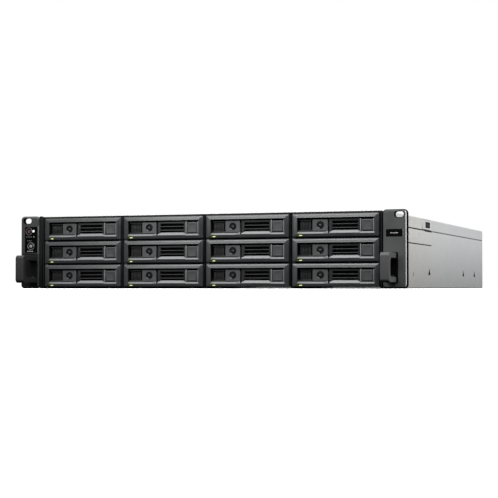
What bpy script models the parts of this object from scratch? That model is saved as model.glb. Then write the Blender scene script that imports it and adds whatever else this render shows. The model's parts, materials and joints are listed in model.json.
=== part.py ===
"""A 2U rack network attached storage unit with twelve drive trays in four columns of three.

Helpers work in millimetres: X to the right, D (the mesh's Y) backwards from the front face of the
rack ears, Z up from the base. MM turns them into metres. An empty stands on the ears' front plane.
"""

import math

import bmesh
import bpy

MM = 0.001

# Chassis
EARS_WIDTH = 482.0
BODY_WIDTH = 430.5
EAR_HEIGHT = 88.0
BODY_DEPTH = 611.0
HANDLE_REACH = 34.5
SUPPLY_REACH = 18.0
SHEET = 1.2
GAP = 0.35

# Drive bays
COLUMNS = 4
ROWS = 3
COLUMN_PITCH = 105.0
ROW_PITCH = 28.1
LOWEST_TRAY_Z = 15.2
TRAY_WIDTH = 100.0
TRAY_HEIGHT = 26.4
TRAY_FACE_D = -3.0
BEZEL_DEPTH = 17.5
RAIL_WIDTH = 103.4
RAIL_SHEET = 1.6
DRIVE_WIDTH = 101.0
DRIVE_HEIGHT = 25.4
DRIVE_LENGTH = 147.0
DRIVE_END_D = 171.0

# Covers, cage and boards
COVER_TOP = 87.4
COVER_SEAM_Z = 73.0
COVER_SPLIT = 0.5
COVER_PAD_D = (206.0, 233.5)
COVER_PAD_Z = (75.8, 83.6)
TUB_TOP = 84.0
TUCK = 0.4
GROOVE = 0.6
REAR_SEAM_D = 592.0
FRAME_D = (2.0, 5.1)
FRAME_OUTER = (211.6, 0.4, 86.8)
FRAME_INNER = (209.7, 1.5, 85.1)
FRONT_COVER_END = 243.0
SIDE_FOLD_Z = 54.5
BODY_START_D = 5.5
CAGE_TOP = 85.9
CAGE_WALL = 1.0
CAGE_LEDGE = 4.0
CAGE_END_D = 177.0
BACKPLANE_D = 178.0
BOARD_SHEET = 1.8
FAN_WALL_D = 250.0
FAN_SIZE = 80.0
FAN_DEPTH = 26.0
FAN_BORE = 38.4
FAN_SPREAD = 138.0
FAN_Z = 43.0
FAN_STRUT = 3.0
BLADES = 7
BLADE_TIP = 37.2
HUB_RADIUS = 18.0
MOTOR_RADIUS = 16.0

# Rack ears and handles
EAR_INNER_X = 212.2
EAR_THICKNESS = 5.0
EAR_LEG_END_D = 42.0
EAR_CORNER = 4.5
RACK_SLOT_X = (226.7, 236.5)
RACK_SLOT_Z = (79.1, 85.5)
RACK_SLOT_CORNER = 3.0
HANDLE_X = (218.2, 228.6)
HANDLE_Z = (7.0, 39.7)
HANDLE_BAR = 6.0
HANDLE_OUTER_RADIUS = 4.0
HANDLE_INNER_RADIUS = 5.0

EAR_CHAMFER = 1.2
EAR_LEG_Z = (5.0, 83.0)
EAR_LEG_SHEET = 1.5
BADGE_X = (216.6, 235.4)
BADGE_Z = (57.6, 66.0)
BADGE_DEPTH = 0.8

# Control panel in the left ear, with its two buttons
PANEL_X = (-235.4, -218.0)
PANEL_Z = (43.3, 75.2)
PANEL_DEPTH = 0.6
POWER_BUTTON = (-229.7, 69.6)
MUTE_BUTTON = (-227.1, 51.6)
BUTTON_RADIUS = 3.6
BUTTON_FLANGE = 4.5
BUTTON_CAVITY_X = (-236.8, -217.6)
BUTTON_CAVITY_Z = (41.5, 76.0)
BUTTON_CAVITY_D = 3.0

# Motherboard and what stands on it
BOARD_Z = 8.0
BOARD_TOP = 9.6
BOARD_X = (-205.0, 112.0)
BOARD_FRONT_D = 300.0
STANDOFFS_X = (-195.0, -45.0, 100.0)
STANDOFFS_D = (310.0, 450.0, 590.0)
PROCESSOR_X = (-122.0, -78.0)
PROCESSOR_D = (418.0, 462.0)
PROCESSOR_HEIGHT = 4.0
HEATSINK_X = (-140.0, -60.0)
HEATSINK_D = (402.0, 478.0)
HEATSINK_HEIGHT = 34.0
HEATSINK_FOOT = 5.0
HEATSINK_FINS = 14
FIN_THICKNESS = 1.4
MEMORY_SOCKETS_X = (-30.0, -18.0)
MEMORY_SOCKET_D = (370.0, 512.0)
MEMORY_SLOT_DEPTH = 4.0
MEMORY_CHIPS = 8
CHIP_PITCH = 15.6
CARD_SLOTS_X = (60.0, 82.0)
CARD_SLOT_D = (470.0, 560.0)

# Rear wall
REAR_WALL = 1.5
VENT_COLUMNS = 4
VENT_ROWS = 7
VENT_LEFT = -204.0
VENT_PITCH_X = 54.0
VENT_WIDTH = 48.0
VENT_LOWEST_Z = 34.0
VENT_PITCH_Z = 6.4
VENT_HEIGHT = 3.2

# Power supplies, one above the other; a module's Z counts from its middle
SUPPLY_X = (131.0, 204.5)
SUPPLY_HEIGHT = 39.0
SUPPLY_CENTRES_Z = (22.5, 64.1)
SUPPLY_FRONT_D = 425.0
SUPPLY_LENGTH = BODY_DEPTH - SUPPLY_FRONT_D
INLET_X = (136.0, 163.2)
INLET_HALF_HEIGHT = 9.9
INLET_DEPTH = 16.0
SUPPLY_VENT_X = (167.0, 196.0)
SUPPLY_VENT_LOWEST_Z = -13.6
SUPPLY_VENT_PITCH = 4.9
SUPPLY_VENT_HEIGHT = 2.7
SUPPLY_VENT_DEPTH = 2.4
SUPPLY_HANDLE_X = (177.0, 184.0)
SUPPLY_HANDLE_Z = (14.5, 18.0)
LATCH_POCKET_X = 200.4
LATCH_POCKET_DEPTH = 24.0
LATCH_HEIGHT = 10.4
LATCH_X = (203.2, 204.3)
LATCH_TAB_X = 200.2
LATCH_REACH = 9.0

# Keyholes for the rack rails' screws, in the side walls
KEYHOLES_D = (230.0, 456.0, 542.0)
KEYHOLE_Z = 19.6
KEYHOLE_RADIUS = 3.0
KEYHOLE_SLOT = 2.6
KEYHOLE_HEIGHT = 5.2
RAIL_SLOT_D = (138.6, 141.0)
RAIL_SLOT_Z = (14.6, 19.6)

TOTAL_DEPTH = HANDLE_REACH + BODY_DEPTH + SUPPLY_REACH
EAR_FACE_Y = HANDLE_REACH - TOTAL_DEPTH / 2


def clear_scene():
    for obj in list(bpy.data.objects):
        bpy.data.objects.remove(obj)


def material(name, colour, roughness, metallic):
    made = bpy.data.materials.new(name)
    made.use_nodes = True
    shader = made.node_tree.nodes["Principled BSDF"]
    shader.inputs["Base Color"].default_value = (*colour, 1)
    shader.inputs["Roughness"].default_value = roughness
    shader.inputs["Metallic"].default_value = metallic
    made.diffuse_color = (*colour, 1)
    return made


def loft(bm, rings):
    """One closed body through rings of equal point counts, capped at both ends."""
    loops = [[bm.verts.new(point) for point in ring] for ring in rings]
    count = len(loops[0])
    made = []
    for near, far in zip(loops, loops[1:]):
        for i in range(count):
            j = (i + 1) % count
            made.append(bm.faces.new((near[i], near[j], far[j], far[i])))
    made.append(bm.faces.new(loops[0][::-1]))
    made.append(bm.faces.new(loops[-1]))
    bmesh.ops.recalc_face_normals(bm, faces=made)


def box(bm, x, d, z):
    """A box between the two X, two D and two Z values."""
    corners = [(x[0], z[0]), (x[1], z[0]), (x[1], z[1]), (x[0], z[1])]
    loft(bm, [[(px, depth, pz) for px, pz in corners] for depth in d])


def rod(bm, centre, radius, d, segments=24):
    """A round rod along D round the (X, Z) centre."""
    turn = 2 * math.pi / segments
    circle = [(math.cos(i * turn) * radius, math.sin(i * turn) * radius) for i in range(segments)]
    loft(bm, [[(centre[0] + x, depth, centre[1] + z) for x, z in circle] for depth in d])


def rounded(x, z, radius, steps=4):
    """A rounded rectangle outline in X and Z."""
    corners = [
        (x[1] - radius, z[1] - radius, 0),
        (x[0] + radius, z[1] - radius, 90),
        (x[0] + radius, z[0] + radius, 180),
        (x[1] - radius, z[0] + radius, 270),
    ]
    outline = []
    for cx, cz, start in corners:
        for step in range(steps + 1):
            angle = math.radians(start + 90 * step / steps)
            outline.append((cx + radius * math.cos(angle), cz + radius * math.sin(angle)))
    return outline


def extrude_d(bm, outline, d):
    """An outline of (X, Z) points made solid along D."""
    loft(bm, [[(x, depth, z) for x, z in outline] for depth in d])


def mesh_object(name, bm, look=None, origin=(0, 0, 0), parent=None):
    """An object from millimetre geometry, with its own origin at the given point of the parent."""
    bmesh.ops.scale(bm, vec=(MM, MM, MM), verts=bm.verts)
    mesh = bpy.data.meshes.new(name)
    bm.to_mesh(mesh)
    bm.free()
    if look:
        mesh.materials.append(look)
    obj = bpy.data.objects.new(name, mesh)
    bpy.context.scene.collection.objects.link(obj)
    obj.location = [value * MM for value in origin]
    obj.parent = parent
    return obj


def combine(obj, operation, bm):
    """Adds to or cuts from an object with a hidden helper, then keeps the resulting mesh."""
    helper = mesh_object(f"{obj.name}_{operation.lower()}", bm, None, (0, 0, 0), obj)
    helper.hide_render = True
    helper.display_type = "WIRE"
    modifier = obj.modifiers.new(operation.title(), "BOOLEAN")
    modifier.operation = operation
    modifier.solver = "EXACT"
    modifier.use_self = operation == "UNION"
    modifier.object = helper
    keep_result(obj)
    bpy.data.objects.remove(helper)


def keep_result(obj):
    graph = bpy.context.evaluated_depsgraph_get()
    shaped = bpy.data.meshes.new_from_object(obj.evaluated_get(graph))
    shaped.name = obj.name
    obj.modifiers.clear()
    obj.data = shaped


def soften(obj, width, segments=1):
    """Bevels the object's sharp edges."""
    modifier = obj.modifiers.new("Edges", "BEVEL")
    modifier.width = width * MM
    modifier.segments = segments
    modifier.limit_method = "ANGLE"
    modifier.angle_limit = math.radians(40)
    keep_result(obj)


def shade_round(obj):
    obj.data.shade_smooth()
    obj.data.set_sharp_from_angle(angle=math.radians(35))


def arc(centre, radius, start, end, steps=4):
    """Points round a centre between two angles in degrees."""
    points = []
    for step in range(steps + 1):
        angle = math.radians(start + (end - start) * step / steps)
        points.append((centre[0] + radius * math.cos(angle), centre[1] + radius * math.sin(angle)))
    return points


def keyhole(depth):
    """(D, Z) outline of a round hole with a narrow slot above it."""
    half = KEYHOLE_SLOT / 2
    opening = math.degrees(math.asin(half / KEYHOLE_RADIUS))
    outline = arc((depth, KEYHOLE_Z), KEYHOLE_RADIUS, 90 + opening, 450 - opening, 12)
    return outline + [(depth + half, KEYHOLE_Z + KEYHOLE_HEIGHT), (depth - half, KEYHOLE_Z + KEYHOLE_HEIGHT)]


def make_chassis_tub(parent, look):
    """Base and side walls folded from one sheet, joggled inwards under the covers' flanges."""
    outer = BODY_WIDTH / 2
    inner = outer - SHEET
    tucked = inner - TUCK
    right_outer = [
        (outer - 1, 0),
        (outer, 1),
        (outer, COVER_SEAM_Z - 1.2),
        (tucked, COVER_SEAM_Z - 0.2),
        (tucked, TUB_TOP),
        (tucked - SHEET, TUB_TOP),
        (tucked - SHEET, COVER_SEAM_Z - 0.6),
        (inner, COVER_SEAM_Z - 1.6),
        (inner, SHEET),
    ]
    left = [(-x, z) for x, z in reversed(right_outer)]
    bm = bmesh.new()
    extrude_d(bm, right_outer + left, (BODY_START_D, BODY_DEPTH))
    tub = mesh_object("chassis_tub", bm, look, (0, 0, 0), parent)
    cuts = bmesh.new()
    for side in (-1, 1):
        wall = sorted((side * (outer - GROOVE), side * (outer + 1)))
        through = sorted((side * (inner - 1), side * (outer + 1)))
        box(cuts, wall, (BODY_START_D - 1, FRONT_COVER_END), (SIDE_FOLD_Z - GROOVE, SIDE_FOLD_Z + GROOVE))
        box(cuts, wall, (REAR_SEAM_D - 0.4, REAR_SEAM_D + 0.4), (4, COVER_SEAM_Z - 3))
        box(cuts, through, RAIL_SLOT_D, RAIL_SLOT_Z)
        for depth in KEYHOLES_D:
            loft(cuts, [[(x, d, z) for d, z in keyhole(depth)] for x in through])
    combine(tub, "DIFFERENCE", cuts)
    return tub


def make_cover(name, parent, look, d):
    """A flat lid with a flange down each side."""
    outer = BODY_WIDTH / 2
    right_half = [
        (outer - SHEET, COVER_TOP - SHEET),
        (outer - SHEET, COVER_SEAM_Z + GAP),
        (outer, COVER_SEAM_Z + GAP),
        (outer, COVER_TOP - 1),
        (outer - 1, COVER_TOP),
    ]
    bm = bmesh.new()
    extrude_d(bm, right_half + [(-x, z) for x, z in reversed(right_half)], d)
    return mesh_object(name, bm, look, (0, 0, 0), parent)


def add_side_windows(cover):
    """The shallow pocket for the pad near the rear end of the front cover's flanges."""
    outer = BODY_WIDTH / 2
    outline = rounded(COVER_PAD_D, COVER_PAD_Z, 2.2, 3)
    cuts = bmesh.new()
    for side in (-1, 1):
        wall = sorted((side * (outer - 0.7), side * (outer + 1)))
        loft(cuts, [[(x, depth, z) for depth, z in outline] for x in wall])
    combine(cover, "DIFFERENCE", cuts)


def make_front_frame(parent, look):
    """The black surround of the drive bays."""
    bm = bmesh.new()
    half, low, high = FRAME_OUTER
    box(bm, (-half, half), FRAME_D, (low, high))
    frame = mesh_object("front_frame", bm, look, (0, 0, 0), parent)
    cuts = bmesh.new()
    half, low, high = FRAME_INNER
    box(cuts, (-half, half), (FRAME_D[0] - 1, FRAME_D[1] + 1), (low, high))
    combine(frame, "DIFFERENCE", cuts)
    return frame


def make_drive_cage(parent, look):
    """A roof with five walls and ledges between the rows, folded and riveted as one piece."""
    walls = [(column - COLUMNS / 2) * COLUMN_PITCH for column in range(COLUMNS + 1)]
    walls[0] -= TUCK
    walls[-1] += TUCK
    foot = SHEET + GAP
    roof = CAGE_TOP - CAGE_WALL
    ledges = [LOWEST_TRAY_Z + ROW_PITCH * (row + 0.5) for row in range(ROWS - 1)]
    half = CAGE_WALL / 2

    def up_wall(face, inwards):
        points = [(face, foot)]
        for z in ledges:
            points += [(face, z - half), (face + inwards, z - half)]
            points += [(face + inwards, z + half), (face, z + half)]
        return points + [(face, roof)]

    outline = [(walls[-1] + half, foot), (walls[-1] + half, CAGE_TOP)]
    outline += [(walls[0] - half, CAGE_TOP), (walls[0] - half, foot)]
    for left, right in zip(walls, walls[1:]):
        outline += up_wall(left + half, CAGE_LEDGE)
        outline += up_wall(right - half, -CAGE_LEDGE)[::-1]
    bm = bmesh.new()
    extrude_d(bm, outline, (BODY_START_D, CAGE_END_D))
    return mesh_object("drive_cage", bm, look, (0, 0, 0), parent)


def bay_centres():
    """(column, row, X, Z) of each bay, the top row being row 1."""
    for column in range(COLUMNS):
        x = (column - (COLUMNS - 1) / 2) * COLUMN_PITCH
        for row in range(ROWS):
            yield column + 1, row + 1, x, LOWEST_TRAY_Z + ROW_PITCH * (ROWS - 1 - row)


def make_backplane(parent, look):
    """The drive backplane, with a connector for each drive and air slots between them."""
    bm = bmesh.new()
    box(bm, (-208, 208), (BACKPLANE_D, BACKPLANE_D + BOARD_SHEET), (2.5, 84))
    board = mesh_object("backplane_board", bm, look, (0, 0, 0), parent)
    cuts = bmesh.new()
    plugs = bmesh.new()
    for _, row, x, z in bay_centres():
        box(plugs, (x - 38, x - 5), (DRIVE_END_D + 0.6, BACKPLANE_D + 0.5), (z - 10.5, z - 5.5))
        if row > 1:
            box(cuts, (x - 42, x + 14), (BACKPLANE_D - 1, BACKPLANE_D + 3), (z + 9, z + 15))
    combine(board, "DIFFERENCE", cuts)
    combine(board, "UNION", plugs)
    return board


# Drive tray: X from the left edge of its face, Z from its bottom edge, D from its front face.
RECESS_X = (7.0, 95.2)
RECESS_Z = (3.9, 21.6)
RECESS_DEPTH = 8.8
PATCH_X = (10.0, 22.2)
PATCH_Z = (9.1, 17.3)
PATCH_FRONT = 4.0
LOCK_BLOCK_X = (24.3, 42.4)
LOCK_BLOCK_Z = (6.6, 20.2)
LOCK_BLOCK_FRONT = 2.0
POST_X = (79.9, 81.5)
POST_Z = (6.2, 20.2)
POST_FRONT = 1.2
LEVER_X = (45.7, 79.4)
LEVER_Z = (4.3, 20.2)
LEVER_FRONT = 1.7
LEVER_THICKNESS = 5.0
LEVER_SLOTS_Z = ((7.7, 9.8), (11.0, 13.9), (15.3, 17.4))
BUTTON_X = (82.0, 94.8)
BUTTON_Z = (6.6, 19.3)
BUTTON_FRONT = 0.9
BUTTON_BACK = 6.9
CROSS_BAR = (14.5, 17.9)


def make_tray(parent, look, name, x, z):
    """Bezel, side rails and the drive screwed between them, joined as one body."""
    half_width = TRAY_WIDTH / 2
    half_height = TRAY_HEIGHT / 2
    rail = RAIL_WIDTH / 2
    half_drive = DRIVE_HEIGHT / 2
    drive_end = DRIVE_END_D - TRAY_FACE_D
    floor = RECESS_DEPTH + 0.5

    def from_middle(pair, half):
        return (pair[0] - half, pair[1] - half)

    def recess_block(bm, x_pair, z_pair, front):
        box(bm, from_middle(x_pair, half_width), (front, floor), from_middle(z_pair, half_height))

    face = rounded((-half_width, half_width), (-half_height, half_height), 0.8, 1)
    inset = rounded((1 - half_width, half_width - 1), (1 - half_height, half_height - 1), 0.5, 1)
    sections = ((inset, 0), (face, 1), (face, BEZEL_DEPTH))
    bm = bmesh.new()
    loft(bm, [[(px, depth, pz) for px, pz in ring] for ring, depth in sections])
    tray = mesh_object(name, bm, look, (x, TRAY_FACE_D, z), parent)
    cuts = bmesh.new()
    box(cuts, from_middle(RECESS_X, half_width), (-1, RECESS_DEPTH), from_middle(RECESS_Z, half_height))
    combine(tray, "DIFFERENCE", cuts)
    added = bmesh.new()
    recess_block(added, PATCH_X, PATCH_Z, PATCH_FRONT)
    recess_block(added, LOCK_BLOCK_X, LOCK_BLOCK_Z, LOCK_BLOCK_FRONT)
    recess_block(added, POST_X, POST_Z, POST_FRONT)
    combine(tray, "UNION", added)
    bar = bmesh.new()
    box(bar, (-rail, rail), CROSS_BAR, (-half_drive, half_drive))
    combine(tray, "UNION", bar)
    rails = bmesh.new()
    for side in (-1, 1):
        wall = sorted((side * (rail - RAIL_SHEET), side * rail))
        box(rails, wall, (CROSS_BAR[1] - 0.9, drive_end + 0.2), (1.2 - half_drive, half_drive - 2.4))
    combine(tray, "UNION", rails)
    drive = bmesh.new()
    wide = DRIVE_WIDTH / 2
    box(drive, (-wide, wide), (drive_end - DRIVE_LENGTH, drive_end), (0.3 - half_drive, half_drive - 0.4))
    combine(tray, "UNION", drive)
    return tray


def make_lever(parent, look, name):
    """The tray's swinging grip: slotted plate with a rounded hinge end; origin on the hinge axis."""
    radius = LEVER_THICKNESS / 2
    reach = LEVER_X[1] - LEVER_X[0]
    outline = arc((0, 0), radius, 90, 270, 6) + [(reach, -radius), (reach, radius)]
    low = LEVER_Z[0] - TRAY_HEIGHT / 2
    high = LEVER_Z[1] - TRAY_HEIGHT / 2
    bm = bmesh.new()
    loft(bm, [[(px, depth, pz) for px, depth in outline] for pz in (low, high)])
    origin = (LEVER_X[0] - TRAY_WIDTH / 2, LEVER_FRONT + radius, 0)
    lever = mesh_object(name, bm, look, origin, parent)
    cuts = bmesh.new()
    for slot in LEVER_SLOTS_Z:
        z = [value - TRAY_HEIGHT / 2 for value in slot]
        box(cuts, (3.5, reach - 2.2), (-radius - 1, radius + 1), z)
    combine(lever, "DIFFERENCE", cuts)
    return lever


def make_tray_button(parent, look, name):
    """The square release button at the right end of the lever."""
    half_width = (BUTTON_X[1] - BUTTON_X[0]) / 2
    half_height = (BUTTON_Z[1] - BUTTON_Z[0]) / 2
    body = rounded((-half_width, half_width), (-half_height, half_height), 0.6, 1)
    front = rounded((0.6 - half_width, half_width - 0.6), (0.6 - half_height, half_height - 0.6), 0.4, 1)
    sections = ((front, 0), (body, 0.6), (body, BUTTON_BACK - BUTTON_FRONT))
    bm = bmesh.new()
    loft(bm, [[(px, depth, pz) for px, pz in ring] for ring, depth in sections])
    centre_x = sum(BUTTON_X) / 2 - TRAY_WIDTH / 2
    centre_z = sum(BUTTON_Z) / 2 - TRAY_HEIGHT / 2
    return mesh_object(name, bm, look, (centre_x, BUTTON_FRONT, centre_z), parent)


def copy_at(obj, name, origin, parent):
    """Another object with the same mesh."""
    twin = bpy.data.objects.new(name, obj.data)
    bpy.context.scene.collection.objects.link(twin)
    twin.location = [value * MM for value in origin]
    twin.parent = parent
    return twin


def make_trays(parent, looks):
    """Twelve trays, each with its own lever and release button."""
    first = None
    for column, row, x, z in bay_centres():
        tag = f"{column}_{row}"
        if first is None:
            tray = make_tray(parent, looks["bezel"], f"drive_tray_{tag}", x, z)
            lever = make_lever(tray, looks["lever"], f"tray_lever_{tag}")
            button = make_tray_button(tray, looks["button"], f"tray_button_{tag}")
            first = (tray, lever, button)
            continue
        tray = copy_at(first[0], f"drive_tray_{tag}", (x, TRAY_FACE_D, z), parent)
        for pattern, piece in (("tray_lever", first[1]), ("tray_button", first[2])):
            place = [value / MM for value in piece.location]
            copy_at(piece, f"{pattern}_{tag}", place, tray)


def ear_outline(side, inset):
    x = sorted((side * (EAR_INNER_X + inset), side * (EARS_WIDTH / 2 - inset)))
    return rounded(x, (inset, EAR_HEIGHT - inset), EAR_CORNER - inset, 5)


def make_ear(name, side, parent, look):
    """A rack ear: chamfered face plate, rack screw slot, and a leg along the chassis side."""
    edge = ear_outline(side, 0)
    sections = ((ear_outline(side, EAR_CHAMFER), 0), (edge, EAR_CHAMFER), (edge, EAR_THICKNESS))
    bm = bmesh.new()
    loft(bm, [[(x, depth, z) for x, z in ring] for ring, depth in sections])
    ear = mesh_object(name, bm, look, (0, 0, 0), parent)
    leg = bmesh.new()
    inner = BODY_WIDTH / 2 + GAP
    wall = sorted((side * inner, side * (inner + EAR_LEG_SHEET)))
    box(leg, wall, (EAR_THICKNESS - 1, EAR_LEG_END_D), EAR_LEG_Z)
    combine(ear, "UNION", leg)
    cuts = bmesh.new()
    slot_x = sorted((side * RACK_SLOT_X[0], side * RACK_SLOT_X[1]))
    extrude_d(cuts, rounded(slot_x, RACK_SLOT_Z, RACK_SLOT_CORNER, 4), (-1, EAR_THICKNESS + 1))
    if side > 0:
        extrude_d(cuts, rounded(BADGE_X, BADGE_Z, 1.2, 2), (-1, BADGE_DEPTH))
    else:
        box(cuts, BUTTON_CAVITY_X, (BUTTON_CAVITY_D, EAR_THICKNESS + 1), BUTTON_CAVITY_Z)
    combine(ear, "DIFFERENCE", cuts)
    if side < 0:
        panel = bmesh.new()
        extrude_d(panel, rounded(PANEL_X, PANEL_Z, 1.5, 2), (-1, PANEL_DEPTH))
        combine(ear, "DIFFERENCE", panel)
        holes = bmesh.new()
        for centre in (POWER_BUTTON, MUTE_BUTTON):
            rod(holes, centre, BUTTON_RADIUS + GAP, (-1, EAR_THICKNESS))
        combine(ear, "DIFFERENCE", holes)
    shade_round(ear)
    return ear


def make_handle(name, side, parent, look):
    """A pull handle: a front bar on two arms, with a finger gap behind the bar."""
    low, high = HANDLE_Z
    front = -HANDLE_REACH
    root = -GAP
    outer = HANDLE_OUTER_RADIUS
    inner = HANDLE_INNER_RADIUS
    inside = front + HANDLE_BAR
    outline = [(root, low)]
    outline += arc((front + outer, low + outer), outer, 270, 180)
    outline += arc((front + outer, high - outer), outer, 180, 90)
    outline += [(root, high), (root, high - HANDLE_BAR)]
    outline += arc((inside + inner, high - HANDLE_BAR - inner), inner, 90, 180)
    outline += arc((inside + inner, low + HANDLE_BAR + inner), inner, 180, 270)
    outline.append((root, low + HANDLE_BAR))
    bm = bmesh.new()
    x = sorted((side * HANDLE_X[0], side * HANDLE_X[1]))
    loft(bm, [[(px, depth, z) for depth, z in outline] for px in x])
    handle = mesh_object(name, bm, look, (0, 0, 0), parent)
    soften(handle, 0.7)
    return handle


def make_panel_button(name, centre, parent, look):
    """A round push button with a retaining flange behind the ear's face."""
    turn = 2 * math.pi / 24
    angles = [turn * i for i in range(24)]
    flange_d = (BUTTON_CAVITY_D + 0.4, BUTTON_CAVITY_D + 1.2)
    profile = [(BUTTON_RADIUS - 0.5, 0.1), (BUTTON_RADIUS, 0.6), (BUTTON_RADIUS, flange_d[0])]
    profile += [(BUTTON_FLANGE, depth) for depth in flange_d]
    rings = []
    for radius, depth in profile:
        rings.append([(radius * math.cos(angle), depth, radius * math.sin(angle)) for angle in angles])
    bm = bmesh.new()
    loft(bm, rings)
    button = mesh_object(name, bm, look, (centre[0], 0, centre[1]), parent)
    shade_round(button)
    return button


def fan_cross(x, d):
    """The upright strut behind a fan."""
    bm = bmesh.new()
    reach = FAN_SIZE / 2 - 1
    box(bm, (x - FAN_STRUT / 2, x + FAN_STRUT / 2), d, (FAN_Z - reach, FAN_Z + reach))
    return bm


def make_fan_bracket(parent, look):
    """The fan wall: a cross sheet with three fan frames, their struts and motor bases."""
    centres = (-FAN_SPREAD, 0, FAN_SPREAD)
    front = FAN_WALL_D
    back = front + FAN_DEPTH
    half = FAN_SIZE / 2
    bm = bmesh.new()
    box(bm, (-211.5, 211.5), (front, front + SHEET), (1.6, 84.6))
    bracket = mesh_object("fan_bracket", bm, look, (0, 0, 0), parent)
    frames = bmesh.new()
    bores = bmesh.new()
    struts = bmesh.new()
    bases = bmesh.new()
    for x in centres:
        box(frames, (x - half, x + half), (front + 0.5, back), (FAN_Z - half, FAN_Z + half))
        rod(bores, (x, FAN_Z), FAN_BORE, (front - 1, back + 1), 40)
        beam_z = (FAN_Z - FAN_STRUT / 2, FAN_Z + FAN_STRUT / 2)
        box(struts, (x - half + 1, x + half - 1), (back - FAN_STRUT - 0.5, back - 0.5), beam_z)
        rod(bases, (x, FAN_Z), MOTOR_RADIUS, (back - 4, back - 0.3), 20)
    combine(bracket, "UNION", frames)
    combine(bracket, "DIFFERENCE", bores)
    combine(bracket, "UNION", struts)
    combine(bracket, "UNION", bases)
    for x in centres:
        combine(bracket, "UNION", fan_cross(x, (back - FAN_STRUT - 0.6, back - 0.6)))
    return bracket


def make_fan_rotor(parent, look, name, x):
    """Hub and seven blades, lofted with a twist; origin on the spin axis."""
    pitch = 2 * math.pi / BLADES
    middle = BLADE_TIP * 0.7
    outline = []
    for blade in range(BLADES):
        start = blade * pitch
        corners = ((HUB_RADIUS, 0), (middle, 0.04), (BLADE_TIP, 0.10), (BLADE_TIP, 0.16), (middle, 0.12))
        corners += ((HUB_RADIUS, 0.14), (HUB_RADIUS, 0.5))
        outline += [(radius, start + offset) for radius, offset in corners]
    rings = []
    for step in range(5):
        depth = step * 4.0
        twist = math.radians(11.0 * step)
        rings.append([(r * math.cos(a + twist), depth, r * math.sin(a + twist)) for r, a in outline])
    bm = bmesh.new()
    loft(bm, rings)
    return mesh_object(name, bm, look, (x, FAN_WALL_D + 3, FAN_Z), parent)


# Sockets on the rear edge of the motherboard: centre X, opening width, opening height, floor Z, depth.
NETWORK_SOCKETS = [(-40 + 18.0 * i, 12.0, 8.4, 13.0, 13.0) for i in range(4)]
USB_SOCKETS = [(x, 12.6, 5.2, 13.0, 11.0) for x in (-92.0, -72.0)]
EXPANSION_SOCKETS = [(-128.0, 24.0, 6.0, 13.0, 12.0)]
SOCKETS = NETWORK_SOCKETS + USB_SOCKETS + EXPANSION_SOCKETS
SOCKET_WALL = 1.8
SOCKET_FACE_D = BODY_DEPTH - 1.9


def standoff(bm, x, depth):
    """A short round post between the base and the motherboard."""
    turn = 2 * math.pi / 10
    circle = [(x + 3 * math.cos(i * turn), depth + 3 * math.sin(i * turn)) for i in range(10)]
    loft(bm, [[(px, pd, z) for px, pd in circle] for z in (SHEET + GAP, BOARD_Z + 0.5)])


def make_motherboard(parent, look):
    """Board on standoffs with its soldered sockets; the processor and memory stand in theirs."""
    root = BOARD_TOP - 0.5
    bm = bmesh.new()
    box(bm, BOARD_X, (BOARD_FRONT_D, BODY_DEPTH - 8), (BOARD_Z, BOARD_TOP))
    board = mesh_object("motherboard", bm, look, (0, 0, 0), parent)
    added = bmesh.new()
    cuts = bmesh.new()
    for x in STANDOFFS_X:
        for depth in STANDOFFS_D:
            standoff(added, x, depth)
    box(added, PROCESSOR_X, PROCESSOR_D, (root, BOARD_TOP + PROCESSOR_HEIGHT))
    near, far = MEMORY_SOCKET_D
    for x in MEMORY_SOCKETS_X:
        box(added, (x - 3.2, x + 3.2), (near, far), (root, BOARD_TOP + 7))
        box(cuts, (x - 1.1, x + 1.1), (near + 4, far - 4), (BOARD_TOP + 7 - MEMORY_SLOT_DEPTH, BOARD_TOP + 8))
    near, far = CARD_SLOT_D
    for x in CARD_SLOTS_X:
        box(added, (x - 3.6, x + 3.6), (near, far), (root, BOARD_TOP + 11))
        box(cuts, (x - 1.2, x + 1.2), (near + 2, far - 2), (BOARD_TOP + 4, BOARD_TOP + 12))
    for x, width, height, floor, depth in SOCKETS:
        half = width / 2
        shell = half + SOCKET_WALL
        back = SOCKET_FACE_D - depth
        box(added, (x - shell, x + shell), (back - 5, SOCKET_FACE_D), (root, floor + height + 1.6))
        box(cuts, (x - half, x + half), (back, SOCKET_FACE_D + 1), (floor, floor + height))
    combine(board, "UNION", added)
    combine(board, "DIFFERENCE", cuts)
    return board


def make_heatsink(parent, look):
    """A finned block over the processor."""
    foot = BOARD_TOP + PROCESSOR_HEIGHT + GAP
    left, right = HEATSINK_X
    pitch = (right - left) / HEATSINK_FINS
    base = foot + HEATSINK_FOOT
    top = foot + HEATSINK_HEIGHT
    outline = [(left, foot), (right, foot)]
    for i in range(HEATSINK_FINS):
        edge = right - i * pitch
        side = edge - FIN_THICKNESS
        outline += [(edge, top), (side, top), (side, base), (edge - pitch, base)]
    bm = bmesh.new()
    extrude_d(bm, outline, HEATSINK_D)
    return mesh_object("cpu_heatsink", bm, look, (0, 0, 0), parent)


def make_memory(parent, look):
    """A memory module in the left socket."""
    bottom = BOARD_TOP + 7 - MEMORY_SLOT_DEPTH + GAP
    x = MEMORY_SOCKETS_X[0]
    near, far = MEMORY_SOCKET_D
    bm = bmesh.new()
    box(bm, (x - 0.7, x + 0.7), (near + 4.5, far - 4.5), (bottom, bottom + 30))
    memory = mesh_object("memory_module", bm, look, (0, 0, 0), parent)
    chips = bmesh.new()
    for i in range(MEMORY_CHIPS):
        start = near + 11 + i * CHIP_PITCH
        box(chips, (x - 1.9, x + 1.9), (start, start + 10), (bottom + 12, bottom + 26))
    combine(memory, "UNION", chips)
    return memory


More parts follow.
